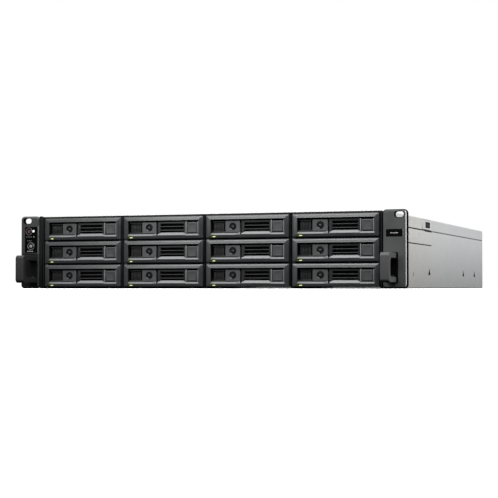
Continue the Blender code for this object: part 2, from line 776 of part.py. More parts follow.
def make_rear_panel(parent, look):
    """The rear wall with its air slots, socket cut-outs and power supply bay."""
    wide = BODY_WIDTH / 2 - SHEET - GAP
    narrow = wide - SHEET - 0.6
    step = COVER_SEAM_Z - 2.4
    right_half = [(wide, SHEET + GAP), (wide, step), (narrow, step), (narrow, 85.6)]
    outline = right_half + [(-x, z) for x, z in reversed(right_half)]
    bm = bmesh.new()
    extrude_d(bm, outline, (BODY_DEPTH - REAR_WALL, BODY_DEPTH))
    panel = mesh_object("rear_panel", bm, look, (0, 0, 0), parent)
    through = (BODY_DEPTH - 3, BODY_DEPTH + 1)
    cuts = bmesh.new()
    covers = bmesh.new()
    box(cuts, (SUPPLY_X[0] - 0.6, SUPPLY_X[1] + 0.6), through, (2.6, 84.4))
    for x, width, height, floor, _ in SOCKETS:
        half = width / 2 + 0.3
        box(cuts, (x - half, x + half), through, (floor - 0.3, floor + height + 0.3))
    for column in range(VENT_COLUMNS):
        left = VENT_LEFT + column * VENT_PITCH_X
        for row in range(VENT_ROWS):
            z = VENT_LOWEST_Z + row * VENT_PITCH_Z
            box(cuts, (left, left + VENT_WIDTH), through, (z, z + VENT_HEIGHT))
    for x in CARD_SLOTS_X:
        box(cuts, (x - 7, x + 7), through, (12, 78))
        box(covers, (x - 7.5, x + 7.5), (BODY_DEPTH - 1.2, BODY_DEPTH - 0.3), (11, 79))
    combine(panel, "DIFFERENCE", cuts)
    combine(panel, "UNION", covers)
    return panel


def make_supply(parent, look, name, z):
    """A power supply module: case, mains inlet, fan slots and a handle."""
    half = SUPPLY_HEIGHT / 2
    rear = SUPPLY_LENGTH
    bm = bmesh.new()
    box(bm, SUPPLY_X, (0, rear), (-half, half))
    supply = mesh_object(name, bm, look, (0, SUPPLY_FRONT_D, z), parent)
    cuts = bmesh.new()
    inlet = rounded(INLET_X, (-INLET_HALF_HEIGHT, INLET_HALF_HEIGHT), 2.0, 2)
    extrude_d(cuts, inlet, (rear - INLET_DEPTH, rear + 1))
    for row in range(6):
        low = SUPPLY_VENT_LOWEST_Z + row * SUPPLY_VENT_PITCH
        box(cuts, SUPPLY_VENT_X, (rear - SUPPLY_VENT_DEPTH, rear + 1), (low, low + SUPPLY_VENT_HEIGHT))
    box(cuts, (LATCH_POCKET_X, SUPPLY_X[1] + 1), (rear - LATCH_POCKET_DEPTH, rear + 1), (-6, 6))
    combine(supply, "DIFFERENCE", cuts)
    handle = bmesh.new()
    end = rear + SUPPLY_REACH
    for side in (-1, 1):
        arm = sorted((side * SUPPLY_HANDLE_Z[0], side * SUPPLY_HANDLE_Z[1]))
        box(handle, SUPPLY_HANDLE_X, (rear - 1.5, end - 2), arm)
    bar_x = (SUPPLY_HANDLE_X[0] - 0.1, SUPPLY_HANDLE_X[1] + 0.1)
    bar_z = SUPPLY_HANDLE_Z[1] + 0.2
    box(handle, bar_x, (end - 4.5, end), (-bar_z, bar_z))
    combine(supply, "UNION", handle)
    return supply


def make_supply_latch(parent, look, name):
    """The thumb latch in the module's right side: a tab behind and a springy arm along the case."""
    near, far = LATCH_X
    start = SUPPLY_LENGTH - LATCH_POCKET_DEPTH + 1
    end = SUPPLY_LENGTH + LATCH_REACH
    outline = [(near, start), (far, start), (far, end), (LATCH_TAB_X, end)]
    outline += [(LATCH_TAB_X, end - 1.4), (near, end - 3.4)]
    half = LATCH_HEIGHT / 2
    bm = bmesh.new()
    loft(bm, [[(x - near, depth, z) for x, depth in outline] for z in (-half, half)])
    return mesh_object(name, bm, look, (near, 0, 0), parent)


def make_looks():
    return {
        "zinc": material("zinc_plated_steel", (0.55, 0.56, 0.57), 0.4, 0.9),
        "black": material("black_plastic", (0.012, 0.012, 0.013), 0.45, 0.0),
        "cage": material("cage_steel", (0.30, 0.30, 0.31), 0.45, 0.9),
        "bezel": material("grey_plastic", (0.075, 0.077, 0.08), 0.4, 0.0),
        "lever": material("lever_plastic", (0.05, 0.05, 0.052), 0.4, 0.0),
        "button": material("button_plastic", (0.09, 0.09, 0.092), 0.45, 0.0),
        "ear": material("ear_plastic", (0.045, 0.046, 0.048), 0.5, 0.0),
        "gloss": material("gloss_black", (0.01, 0.01, 0.012), 0.12, 0.0),
        "board": material("circuit_board", (0.01, 0.10, 0.05), 0.5, 0.0),
        "fan": material("fan_plastic", (0.02, 0.02, 0.022), 0.5, 0.0),
        "aluminium": material("heatsink_aluminium", (0.75, 0.76, 0.77), 0.3, 1.0),
        "latch": material("latch_plastic", (0.20, 0.02, 0.02), 0.45, 0.0),
    }


def main():
    clear_scene()
    looks = make_looks()
    plane = bpy.data.objects.new("ear_face_plane", None)
    bpy.context.scene.collection.objects.link(plane)
    plane.location = (0, EAR_FACE_Y * MM, 0)

    make_chassis_tub(plane, looks["zinc"])
    front_cover = make_cover("top_cover_front", plane, looks["zinc"], (BODY_START_D, FRONT_COVER_END))
    add_side_windows(front_cover)
    make_cover("top_cover_rear", plane, looks["zinc"], (FRONT_COVER_END + COVER_SPLIT, BODY_DEPTH))
    make_front_frame(plane, looks["black"])
    make_drive_cage(plane, looks["cage"])
    make_backplane(plane, looks["board"])
    make_trays(plane, looks)

    for name, side in (("left", -1), ("right", 1)):
        make_ear(f"{name}_ear", side, plane, looks["ear"])
        make_handle(f"{name}_handle", side, plane, looks["ear"])
    make_panel_button("power_button", POWER_BUTTON, plane, looks["gloss"])
    make_panel_button("mute_button", MUTE_BUTTON, plane, looks["gloss"])

    make_fan_bracket(plane, looks["fan"])
    for number, x in enumerate((-FAN_SPREAD, 0, FAN_SPREAD), 1):
        make_fan_rotor(plane, looks["fan"], f"fan_rotor_{number}", x)
    make_motherboard(plane, looks["board"])
    make_heatsink(plane, looks["aluminium"])
    make_memory(plane, looks["board"])
    make_rear_panel(plane, looks["zinc"])
    for number, z in enumerate(SUPPLY_CENTRES_Z, 1):
        supply = make_supply(plane, looks["zinc"], f"psu_module_{number}", z)
        make_supply_latch(supply, looks["latch"], f"psu_latch_{number}")


main()
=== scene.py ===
import json
import math

import bmesh
import bpy
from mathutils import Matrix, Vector


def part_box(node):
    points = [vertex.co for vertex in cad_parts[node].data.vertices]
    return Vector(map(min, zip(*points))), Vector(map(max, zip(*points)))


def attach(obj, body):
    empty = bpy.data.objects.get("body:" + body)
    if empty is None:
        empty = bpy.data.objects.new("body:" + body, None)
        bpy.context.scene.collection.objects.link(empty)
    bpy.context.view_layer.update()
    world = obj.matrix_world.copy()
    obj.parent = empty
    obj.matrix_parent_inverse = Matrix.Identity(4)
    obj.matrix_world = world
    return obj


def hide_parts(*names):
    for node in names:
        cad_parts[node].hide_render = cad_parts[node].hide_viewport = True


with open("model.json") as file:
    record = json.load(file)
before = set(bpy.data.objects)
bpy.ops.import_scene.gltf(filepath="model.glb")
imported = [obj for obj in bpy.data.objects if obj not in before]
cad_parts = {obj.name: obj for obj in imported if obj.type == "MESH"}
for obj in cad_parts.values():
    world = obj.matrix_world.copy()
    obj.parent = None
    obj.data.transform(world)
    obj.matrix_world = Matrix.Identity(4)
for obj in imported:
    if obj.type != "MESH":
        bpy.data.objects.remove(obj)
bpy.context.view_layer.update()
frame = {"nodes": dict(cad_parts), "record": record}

# A 2U rack storage unit. Shapes are given in millimetres: X to the right, D backwards from the front
# plane of the rack ears, Z up from the base. Every place starts from a CAD node's box.
MM = 0.001
EAR_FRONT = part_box("right_ear")[0].y


def extent(node):
    """Lowest and highest (X, D, Z) of a CAD node."""
    plane = Vector((0, EAR_FRONT, 0))
    low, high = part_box(node)
    return (low - plane) / MM, (high - plane) / MM


def opening(name):
    """Lowest and highest (X, D, Z) of a box that the record states as an opening."""
    plane = Vector((0, EAR_FRONT, 0))
    stated = frame["record"]["physics"]["openings"]
    box = next(entry["box_m"] for entry in stated if entry["name"] == name)
    return [(Vector(corner) - plane) / MM for corner in box]


# ---------------------------------------------------------------- materials


def node(tree, kind, inputs=None, **settings):
    """A shader node with its settings, and its inputs given as values or as sockets to link."""
    made = tree.nodes.new(kind)
    for key, value in settings.items():
        setattr(made, key, value)
    for key, value in (inputs or {}).items():
        if isinstance(value, bpy.types.NodeSocket):
            tree.links.new(value, made.inputs[key])
        else:
            made.inputs[key].default_value = value
    return made


def new_look(name, roughness, metallic=0.0, **values):
    look = bpy.data.materials.new(name)
    look.use_nodes = True
    shader = look.node_tree.nodes["Principled BSDF"]
    shader.inputs["Roughness"].default_value = roughness
    shader.inputs["Metallic"].default_value = metallic
    for key, value in values.items():
        shader.inputs[key.replace("_", " ")].default_value = value
    return look, look.node_tree, shader


def noise(tree, place, scale, detail=2.0, stretch=None):
    if stretch:
        place = node(tree, "ShaderNodeMapping", {"Vector": place, "Scale": stretch}).outputs["Vector"]
    wanted = {"Vector": place, "Scale": scale, "Detail": detail}
    return node(tree, "ShaderNodeTexNoise", wanted).outputs["Fac"]


def mapped(tree, value, low, high, start=0.0, end=1.0, **settings):
    """A value from low to high turned into one from start to end."""
    wanted = {"Value": value, "From Min": low, "From Max": high, "To Min": start, "To Max": end}
    return node(tree, "ShaderNodeMapRange", wanted, **settings).outputs["Result"]


def spread(tree, factor, low, high):
    """A noise factor, which lies around 0.3 to 0.7, turned into a value from low to high."""
    return mapped(tree, factor, 0.3, 0.7, low, high)


def part_of(tree, vector, axis):
    return node(tree, "ShaderNodeSeparateXYZ", {"Vector": vector}).outputs[axis]


def multiplied(tree, colours, amount, tone):
    """Colours multiplied by a tone, as far as the amount says."""
    mix = node(tree, "ShaderNodeMix", {6: colours}, data_type="RGBA", blend_type="MULTIPLY")
    mix.inputs[7].default_value = (*tone, 1)
    tree.links.new(amount, mix.inputs["Factor"])
    return mix.outputs[2]


def tinted(tree, factor, dark, light):
    mix = node(tree, "ShaderNodeMix", data_type="RGBA")
    tree.links.new(factor, mix.inputs["Factor"])
    mix.inputs[6].default_value = (*dark, 1)
    mix.inputs[7].default_value = (*light, 1)
    return mix.outputs[2]


def scaled(colour, factor):
    return tuple(min(value * factor, 1) for value in colour)


def bump(tree, shader, height, strength, depth_mm):
    raised = node(tree, "ShaderNodeBump", {"Height": height, "Strength": strength, "Distance": depth_mm * MM})
    tree.links.new(raised.outputs["Normal"], shader.inputs["Normal"])


def plastic(name, colour, roughness, grain=2400.0, relief=0.35, variation=0.14, **values):
    """Moulded plastic: a fine sparked grain, and clouds of slightly different tone and gloss."""
    look, tree, shader = new_look(name, roughness, **values)
    place = node(tree, "ShaderNodeTexCoord").outputs["Object"]
    clouds = noise(tree, place, 38.0, 4.0)
    pits = noise(tree, place, grain)
    tone = spread(tree, clouds, 0.0, 1.0)
    colours = tinted(tree, tone, scaled(colour, 1 - variation), scaled(colour, 1 + variation))
    tree.links.new(colours, shader.inputs["Base Color"])
    tree.links.new(spread(tree, clouds, roughness - 0.05, roughness + 0.06), shader.inputs["Roughness"])
    bump(tree, shader, pits, relief, 0.03)
    return look


def knurled(name, colour, roughness, spacing_mm=1.7):
    """Moulded plastic with an even grid of fine raised dots."""
    look, tree, shader = new_look(name, roughness)
    place = node(tree, "ShaderNodeTexCoord").outputs["Object"]
    grid = {"Vector": place, "Scale": 1 / (spacing_mm * MM), "Randomness": 0.0}
    distance = node(tree, "ShaderNodeTexVoronoi", grid).outputs["Distance"]
    dots = mapped(tree, distance, 0.15, 0.6, 1.0, 0.0)
    colours = tinted(tree, dots, scaled(colour, 0.72), scaled(colour, 1.3))
    tree.links.new(colours, shader.inputs["Base Color"])
    rough = spread(tree, noise(tree, place, 38.0, 4.0), roughness - 0.05, roughness + 0.06)
    tree.links.new(rough, shader.inputs["Roughness"])
    bump(tree, shader, dots, 0.4, 0.08)
    return look


def sheet_metal(name, colour, roughness, grain_along=(1, 0.03, 1), spangle=0.05, warmth_and_painted_shade=0.0, metallic=0.85):
    """Plated sheet steel: crystal spangle, rolling lines along one axis and faint handling marks.

    With warmth and painted shade asked for, it is warmer at the front, and darker low down and on upward
    faces as painted shade.
    """
    look, tree, shader = new_look(name, roughness, metallic)
    place = node(tree, "ShaderNodeTexCoord").outputs["Object"]
    crystals = node(tree, "ShaderNodeTexVoronoi", {"Vector": place, "Scale": 150.0, "Randomness": 1.0})
    crystal_tone = node(tree, "ShaderNodeSeparateColor", {"Color": crystals.outputs["Color"]}).outputs["Red"]
    rolled = noise(tree, place, 1500.0, 3.0, grain_along)
    marks = noise(tree, place, 14.0, 5.0)
    blend = node(tree, "ShaderNodeMath", {0: crystal_tone, 1: rolled}, operation="ADD")
    tone = node(tree, "ShaderNodeMath", {0: blend.outputs[0], 1: 0.5}, operation="MULTIPLY").outputs[0]
    colours = tinted(tree, tone, scaled(colour, 1 - spangle), scaled(colour, 1 + spangle))
    if warmth_and_painted_shade:
        front = mapped(tree, part_of(tree, place, "Y"), -0.12, 0.02, warmth_and_painted_shade, 0.0)
        colours = multiplied(tree, colours, front, (1.0, 0.975, 0.94))
        # Painted shade: darker towards the bottom of the wall.
        low_down = mapped(tree, part_of(tree, place, "Z"), 0.0, 0.07, 1.0, 0.0)
        colours = multiplied(tree, colours, low_down, (0.5, 0.5, 0.5))
        # Painted shade: faces that look upwards are darkened.
        facing = node(tree, "ShaderNodeTexCoord").outputs["Normal"]
        upward = mapped(tree, part_of(tree, facing, "Z"), 0.6, 0.95)
        colours = multiplied(tree, colours, upward, (0.36, 0.36, 0.36))
    tree.links.new(colours, shader.inputs["Base Color"])
    tree.links.new(spread(tree, marks, roughness - 0.05, roughness + 0.07), shader.inputs["Roughness"])
    bump(tree, shader, rolled, 0.12, 0.01)
    return look


def glowing(name, colour, centre_colour, strength, radius):
    """A small diffusing lens with a hot centre, paler than its rim."""
    look, tree, shader = new_look(name, 0.25)
    place = node(tree, "ShaderNodeTexCoord").outputs["Object"]
    speckle = noise(tree, place, 3000.0)
    shader.inputs["Base Color"].default_value = (*colour, 1)
    colours = tinted(tree, spread(tree, speckle, 0.0, 1.0), colour, centre_colour)
    tree.links.new(colours, shader.inputs["Emission Color"])
    shader.inputs["Emission Strength"].default_value = strength
    bump(tree, shader, speckle, 0.2, radius * 0.01)
    return look


LOOKS = {
    "matte_black": plastic("matte_black", (0.0012, 0.0012, 0.0014), 0.65, Specular_IOR_Level=0.03),
    "bezel": plastic("bezel_plastic", (0.030, 0.0315, 0.033), 0.33),
    "recess": plastic("recess_shadow", (0.0015, 0.0015, 0.0017), 0.7, Specular_IOR_Level=0.15),
    # Light grey lip whose brightness is partly a painted highlight; also used for painted glints and
    # highlight lines.
    "lip": plastic("light_lip_painted_highlight", (0.145, 0.148, 0.15), 0.5, 3200.0, 0.15, 0.06, Metallic=0.1),
    "lip_dark": plastic("grey_lip", (0.045, 0.0465, 0.048), 0.34, 3200.0, 0.15, 0.08),
    "seam_grey": plastic("seam_grey", (0.17, 0.17, 0.17), 0.6, Specular_IOR_Level=0.2),
    "patch": plastic("patch_plastic", (0.007, 0.0072, 0.0078), 0.5),
    "lock_block": plastic("lock_block", (0.048, 0.049, 0.051), 0.40),
    "lever": plastic("lever_plastic", (0.007, 0.0072, 0.0078), 0.36),
    "lever_back": plastic("lever_shadow", (0.0015, 0.0015, 0.0017), 0.7, Specular_IOR_Level=0.15),
    "button": knurled("button_plastic", (0.042, 0.043, 0.0445), 0.42),
    # Light grey, partly a painted highlight on the posts beside the button; also the badge's painted glint.
    "border": plastic("button_border", (0.14, 0.143, 0.147), 0.38, 3000.0, 0.15, 0.06),
    "ear": plastic("ear_plastic", (0.030, 0.0315, 0.032), 0.40),
    # A lighter copy of the ear plastic for the right ear: painted light.
    "ear_painted_lighter": plastic("ear_plastic_painted_lighter", (0.045, 0.0465, 0.047), 0.40),
    # Near-white outer chamfer of the right ear: a painted highlight.
    "ear_highlight_edge": plastic("ear_painted_highlight_edge", (0.80, 0.805, 0.81), 0.30, 3000.0, 0.1, 0.05, Metallic=0.3),
    "black": plastic("black_plastic", (0.0018, 0.0018, 0.002), 0.5, Specular_IOR_Level=0.25),
    "gloss": plastic("gloss_black", (0.004, 0.004, 0.005), 0.12, 900.0, 0.03, 0.2, Coat_Weight=0.6),
    "print": plastic("white_print", (0.36, 0.36, 0.36), 0.5),
    "grey_mark": plastic("grey_mark", (0.10, 0.10, 0.10), 0.5),
    "power_ring": plastic("power_ring", (0.12, 0.085, 0.085), 0.4),
    "grey_ring": plastic("grey_ring", (0.17, 0.17, 0.17), 0.4),
    "led_pale": glowing("led_pale", (0.60, 0.65, 0.22), (0.95, 0.97, 0.62), 0.75, 3.0),
    # Olive bed round the pale lamp: the lamp's glow painted on as colour.
    "led_painted_glow": plastic("led_painted_glow", (0.045, 0.055, 0.006), 0.5),
    "led_green": glowing("led_green", (0.16, 0.19, 0.02), (0.26, 0.30, 0.05), 0.3, 3.0),
    "led_white": glowing("led_white", (0.60, 0.60, 0.58), (0.9, 0.9, 0.85), 0.6, 2.0),
    "led_olive": glowing("led_olive", (0.20, 0.20, 0.13), (0.36, 0.36, 0.25), 0.3, 2.0),
    "led_amber": glowing("led_amber", (0.60, 0.33, 0.10), (0.85, 0.60, 0.25), 0.3, 2.0),
    # Zinc plating, with painted shade low down and on upward faces.
    "zinc": sheet_metal("zinc_plated_steel", (0.60, 0.61, 0.615), 0.42, warmth_and_painted_shade=1.0, metallic=0.5),
    "frame_paint": plastic("frame_paint", (0.0018, 0.0018, 0.002), 0.55, Specular_IOR_Level=0.25),
    "cage": sheet_metal("cage_steel", (0.20, 0.20, 0.21), 0.42),
    # A darker copy of the handle plastic for the left handle: painted shade.
    "handle_painted_darker": plastic("handle_plastic_painted_darker", (0.012, 0.0122, 0.0126), 0.58),
    "handle": plastic("handle_plastic", (0.036, 0.0365, 0.0375), 0.58),
    "steel": sheet_metal("screw_steel", (0.55, 0.55, 0.56), 0.3, (1, 1, 1), 0.04),
    "black_screw": sheet_metal("black_screw", (0.05, 0.05, 0.052), 0.35, (1, 1, 1), 0.1),
    "nickel": sheet_metal("port_nickel", (0.62, 0.61, 0.58), 0.25, (1, 1, 0.05), 0.03),
    "casting": plastic("drive_casting", (0.36, 0.365, 0.37), 0.5, 1500.0, 0.5, 0.06, Metallic=0.8),
    "drive_lid": sheet_metal("drive_lid", (0.24, 0.242, 0.245), 0.4, (1, 0.02, 1), 0.03),
    "board": plastic("circuit_board", (0.010, 0.085, 0.045), 0.4, 700.0, 0.4, 0.3),
    "gold": sheet_metal("gold_contacts", (0.70, 0.50, 0.20), 0.25, (1, 1, 1), 0.05, metallic=1.0),
    "fan": plastic("fan_plastic", (0.018, 0.018, 0.019), 0.45),
    "heatsink": sheet_metal("heatsink_aluminium", (0.74, 0.745, 0.75), 0.3, metallic=1.0),
    "supply": sheet_metal("supply_case", (0.55, 0.555, 0.56), 0.35),
    "latch": plastic("latch_plastic", (0.26, 0.018, 0.016), 0.4),
    "blue": plastic("socket_tongue", (0.02, 0.08, 0.35), 0.4),
}


# ---------------------------------------------------------------- mesh building


def rect(a, b, radius=0.0, steps=2):
    """A rectangle's outline between two pairs, anticlockwise, with rounded corners if asked."""
    if not radius:
        return [(a[0], b[0]), (a[1], b[0]), (a[1], b[1]), (a[0], b[1])]
    corners = [
        (a[1] - radius, b[0] + radius, 270),
        (a[1] - radius, b[1] - radius, 0),
        (a[0] + radius, b[1] - radius, 90),
        (a[0] + radius, b[0] + radius, 180),
    ]
    return [point for u, v, start in corners for point in arc((u, v), radius, start, start + 90, steps)]


def arc(centre, radius, start, end, steps):
    points = []
    for step in range(steps + 1):
        angle = math.radians(start + (end - start) * step / steps)
        points.append((centre[0] + radius * math.cos(angle), centre[1] + radius * math.sin(angle)))
    return points


def circle(centre, radius, segments=24):
    return arc(centre, radius, 0, 360, segments)[:-1]


def inset(outline, amount):
    """The outline with each side moved inwards."""
    turns = zip(outline, outline[1:] + outline[:1])
    inwards = 1 if sum(p[0] * q[1] - q[0] * p[1] for p, q in turns) > 0 else -1
    points = [Vector(point) for point in outline]
    moved = []
    for i, point in enumerate(points):
        before = (point - points[i - 1]).normalized()
        after = (points[(i + 1) % len(points)] - point).normalized()
        normals = [Vector((-side.y, side.x)) * inwards for side in (before, after)]
        moved.append(tuple(point + amount * (normals[0] + normals[1]) / (1 + normals[0].dot(normals[1]))))
    return moved


def place(axis, u, v, w):
    """A point of an outline in the plane across an axis, at w along it."""
    return {"d": (u, w, v), "x": (w, u, v), "z": (u, v, w)}[axis]


def at_depths(levels):
    """Rings of points from pairs of an outline and its depth."""
    return [[(u, d, v) for u, v in outline] for outline, d in levels]


class Shape:
    """A mesh being built, with the looks of its faces."""

    def __init__(self):
        self.bm = bmesh.new()
        self.looks = []

    def loft(self, rings, look, caps=(True, True), looped=False):
        """Faces between rings of equal point counts, closed by caps or by joining last to first."""
        loops = [[self.bm.verts.new(point) for point in ring] for ring in rings]
        count = len(loops[0])
        faces = []
        for near, far in zip(loops, loops[1:] + loops[:1] if looped else loops[1:]):
            for i in range(count):
                j = (i + 1) % count
                faces.append(self.bm.faces.new((near[i], near[j], far[j], far[i])))
        if caps[0] and not looped:
            faces.append(self.bm.faces.new(loops[0][::-1]))
        if caps[1] and not looped:
            faces.append(self.bm.faces.new(loops[-1]))
        bmesh.ops.recalc_face_normals(self.bm, faces=faces)
        if look not in self.looks:
            self.looks.append(look)
        for face in faces:
            face.material_index = self.looks.index(look)
        return faces

    def prism(self, outline, span, look, axis="d", chamfer=0.0):
        low, high = span
        levels = [(0, low), (0, high)]
        if chamfer:
            levels = [(chamfer, low), (0, low + chamfer), (0, high - chamfer), (chamfer, high)]
        rings = []
        for amount, w in levels:
            ring = inset(outline, amount) if amount else outline
            rings.append([place(axis, u, v, w) for u, v in ring])
        return self.loft(rings, look)

    def block(self, x, d, z, look, chamfer=0.2):
        """A box with every edge chamfered."""
        self.prism(rect(x, z, chamfer, 1), d, look, "d", chamfer)

    def turned(self, centre, profile, look, axis="d", segments=24, looped=False):
        """A profile of (radius, place along the axis) turned round the axis."""
        rings = [[place(axis, u, v, w) for u, v in circle(centre, radius, segments)] for radius, w in profile]
        return self.loft(rings, look, looped=looped)

    def tube(self, outline, wall, span, look, axis="d"):
        """A hollow prism, open at both ends, with a wall inside the outline."""
        inner = inset(outline, wall)
        rings = []
        for ring, w in ((outline, span[0]), (outline, span[1]), (inner, span[1]), (inner, span[0])):
            rings.append([place(axis, u, v, w) for u, v in ring])
        self.loft(rings, look, looped=True)

    def screw(self, centre, face, look, radius=2.2, out=-1, axis="d"):
        """A domed cross-head screw standing out of a face by its head."""
        dome = [(0.25, 0.55), (0.75, 0.5), (0.95, 0.28), (1.0, 0.0), (1.0, -0.15)]
        profile = [(radius * share, face + out * radius * height) for share, height in dome]
        self.turned(centre, profile, look, axis, 20)
        half = radius * 0.11
        for u, v in ((radius * 0.52, half), (half, radius * 0.52)):
            outline = rect((centre[0] - u, centre[0] + u), (centre[1] - v, centre[1] + v))
            ends = sorted((face + out * radius * 0.56, face + out * radius * 0.4))
            self.prism(outline, ends, "recess", axis)

    def perforated(self, x, z, d, pitch, radius, look, sides=8):
        """A sheet with rows of real holes, between two X, two Z and two D values."""
        columns = max(int((x[1] - x[0]) / pitch), 1)
        rows = max(int((z[1] - z[0]) / pitch), 1)
        wide, high = (x[1] - x[0]) / columns, (z[1] - z[0]) / rows
        for column in range(columns):
            for row in range(rows):
                centre = (x[0] + wide * (column + 0.5), z[0] + high * (row + 0.5))
                hole = circle(centre, radius, sides)
                edge = []
                for u, v in hole:
                    reach = max(abs(u - centre[0]) / wide, abs(v - centre[1]) / high) * 2
                    edge.append((centre[0] + (u - centre[0]) / reach, centre[1] + (v - centre[1]) / reach))
                rings = [(edge, d[0]), (hole, d[0]), (hole, d[1]), (edge, d[1])]
                flat = [[(u, w, v) for u, v in ring] for ring, w in rings]
                self.loft(flat, look, caps=(False, False))

    def mesh(self, name):
        bmesh.ops.scale(self.bm, vec=(MM, MM, MM), verts=self.bm.verts)
        mesh = bpy.data.meshes.new(name)
        self.bm.to_mesh(mesh)
        self.bm.free()
        for look in self.looks:
            mesh.materials.append(LOOKS[look])
        mesh.shade_smooth()
        mesh.set_sharp_from_angle(angle=math.radians(32))
        return mesh


def add(name, made, body, origin=(0, 0, 0), replaces=()):
    """A piece from a shape or a mesh, its origin given in millimetres, riding on a body."""
    mesh = made.mesh(name) if isinstance(made, Shape) else made
    piece = bpy.data.objects.new(name, mesh)
    bpy.context.scene.collection.objects.link(piece)
    piece.location = Vector(origin) * MM + Vector((0, EAR_FRONT, 0))
    bpy.context.view_layer.update()
    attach(piece, body)
    if replaces:
        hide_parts(*replaces)
    return piece


def cut(mesh, cutter):
    """The mesh with another shape taken out of it."""
    solid = bpy.data.objects.new("solid", mesh)
    tool = bpy.data.objects.new("tool", cutter.mesh("tool"))
    for obj in (solid, tool):
        bpy.context.scene.collection.objects.link(obj)
    modifier = solid.modifiers.new("Cut", "BOOLEAN")
    modifier.operation = "DIFFERENCE"
    modifier.solver = "EXACT"
    modifier.material_mode = "TRANSFER"
    modifier.object = tool
    graph = bpy.context.evaluated_depsgraph_get()
    result = bpy.data.meshes.new_from_object(solid.evaluated_get(graph))
    result.name = mesh.name
    result.shade_smooth()
    result.set_sharp_from_angle(angle=math.radians(32))
    for obj in (solid, tool):
        bpy.data.objects.remove(obj)
    return result


def dress(node_name, look, bevel=0.0):
    """A better material on a CAD node that stays, and softened edges if asked."""
    obj = frame["nodes"][node_name]
    if not obj.data.materials:
        obj.data.materials.append(look)
    for slot in obj.material_slots:
        slot.material = look
    if bevel:
        weld = obj.modifiers.new("Weld", "WELD")
        weld.merge_threshold = 0.00001
        modifier = obj.modifiers.new("Edges", "BEVEL")
        modifier.width = bevel * MM
        modifier.segments = 2
        modifier.limit_method = "ANGLE"
        modifier.angle_limit = math.radians(40)
        modifier.harden_normals = True


# ---------------------------------------------------------------- drive trays
# X from the left edge of a tray's face, Z from its bottom edge, D from its front face.

WIDTH = 100.0
HEIGHT = 26.4
RECESS_X = (7.0, 96.5)
RECESS_Z = (3.9, 21.5)
RECESS_FLOOR = 8.8
BEZEL_BACK = 17.5
LEVER_LEFT = 45.7
LEVER_RIGHT = 79.4
LEVER_CENTRE_D = 4.2
LOCK_CENTRE = (33.6, 13.6)


def bezel_mesh():
    """The tray's face: a stepped rim round a deep recess, with its sill, lock block and vent patch."""
    shape = Shape()
    rim = [
        ((0.4, WIDTH + 1.2), (0.0, HEIGHT), 1.0, BEZEL_BACK),
        ((0.4, WIDTH + 1.2), (0.0, HEIGHT), 1.0, 2.3),
        ((1.0, WIDTH + 0.5), (0.4, HEIGHT - 0.6), 0.8, 1.7),
        ((2.4, WIDTH - 0.9), (0.7, HEIGHT - 2.0), 0.7, 1.15),
        ((2.55, WIDTH - 1.1), (0.85, HEIGHT - 2.15), 0.7, 0.75),
        ((6.5, WIDTH - 3.2), (3.6, HEIGHT - 4.5), 0.6, 0.0),
        (RECESS_X, RECESS_Z, 0.5, 0.35),
    ]
    rings = at_depths([(rect(x, z, radius, 3), d) for x, z, radius, d in rim])
    shape.loft(rings, "bezel", caps=(True, False))
    opening_ring = rings[-1]
    floor_ring = [(x, RECESS_FLOOR, z) for x, _, z in opening_ring]
    shape.loft([opening_ring, floor_ring], "recess", caps=(False, True))
    bmesh.ops.remove_doubles(shape.bm, verts=shape.bm.verts, dist=0.001)

    # The sill's light front strip is a painted highlight above its grey slope.
    strip = [(0.38, 3.92), (0.85, 5.6), (1.5, 5.75), (1.5, 3.92)]
    slope = [(1.5, 3.92), (1.5, 5.6), (5.5, 7.9), (8.9, 8.0), (8.9, 3.92)]
    for span in ((7.1, 40.7), (79.8, 96.4)):
        shape.prism(strip, span, "lip", "x")
        shape.prism(slope, span, "lip_dark", "x")
    # The slanted wedge by the lever is light grey as a painted highlight.
    low_end = [(0.34, 3.95), (0.3, 4.2), (0.5, 4.9), (0.95, 4.9), (0.95, 3.95)]
    high_end = [(0.34, 3.95), (0.3, 4.2), (0.85, 6.9), (0.95, 6.9), (0.95, 3.95)]
    wedge = [[(x, d, z) for d, z in end] for x, end in ((37.6, low_end), (43.0, high_end))]
    shape.loft(wedge, "lip")

    for z in ((18.4, 19.8), (6.9, 8.2)):
        shape.block((8.4, 23.4), (3.0, 9.0), z, "patch", 0.25)
    shape.tube(rect((10.0, 22.2), (8.9, 17.4), 0.5, 2), 0.6, (3.4, 9.0), "patch")
    shape.block((10.6, 21.6), (4.4, 9.0), (9.5, 16.8), "recess", 0.1)
    for i in range(6):
        left = 10.9 + i * 1.8
        shape.block((left, left + 1.0), (3.9, 5.0), (9.8, 16.5), "patch", 0.2)

    shape.prism(rect((24.3, 42.4), (6.6, 20.0), 0.9, 3), (2.0, 9.0), "lock_block", "d", 0.45)
    # Light grey posts at the button's sides, partly a painted highlight of its edges.
    for x in ((79.9, 81.3), (94.9, 96.2)):
        shape.block(x, (1.2, 9.0), (6.2, 20.2), "border", 0.25)
    return shape.mesh("tray_bezel")


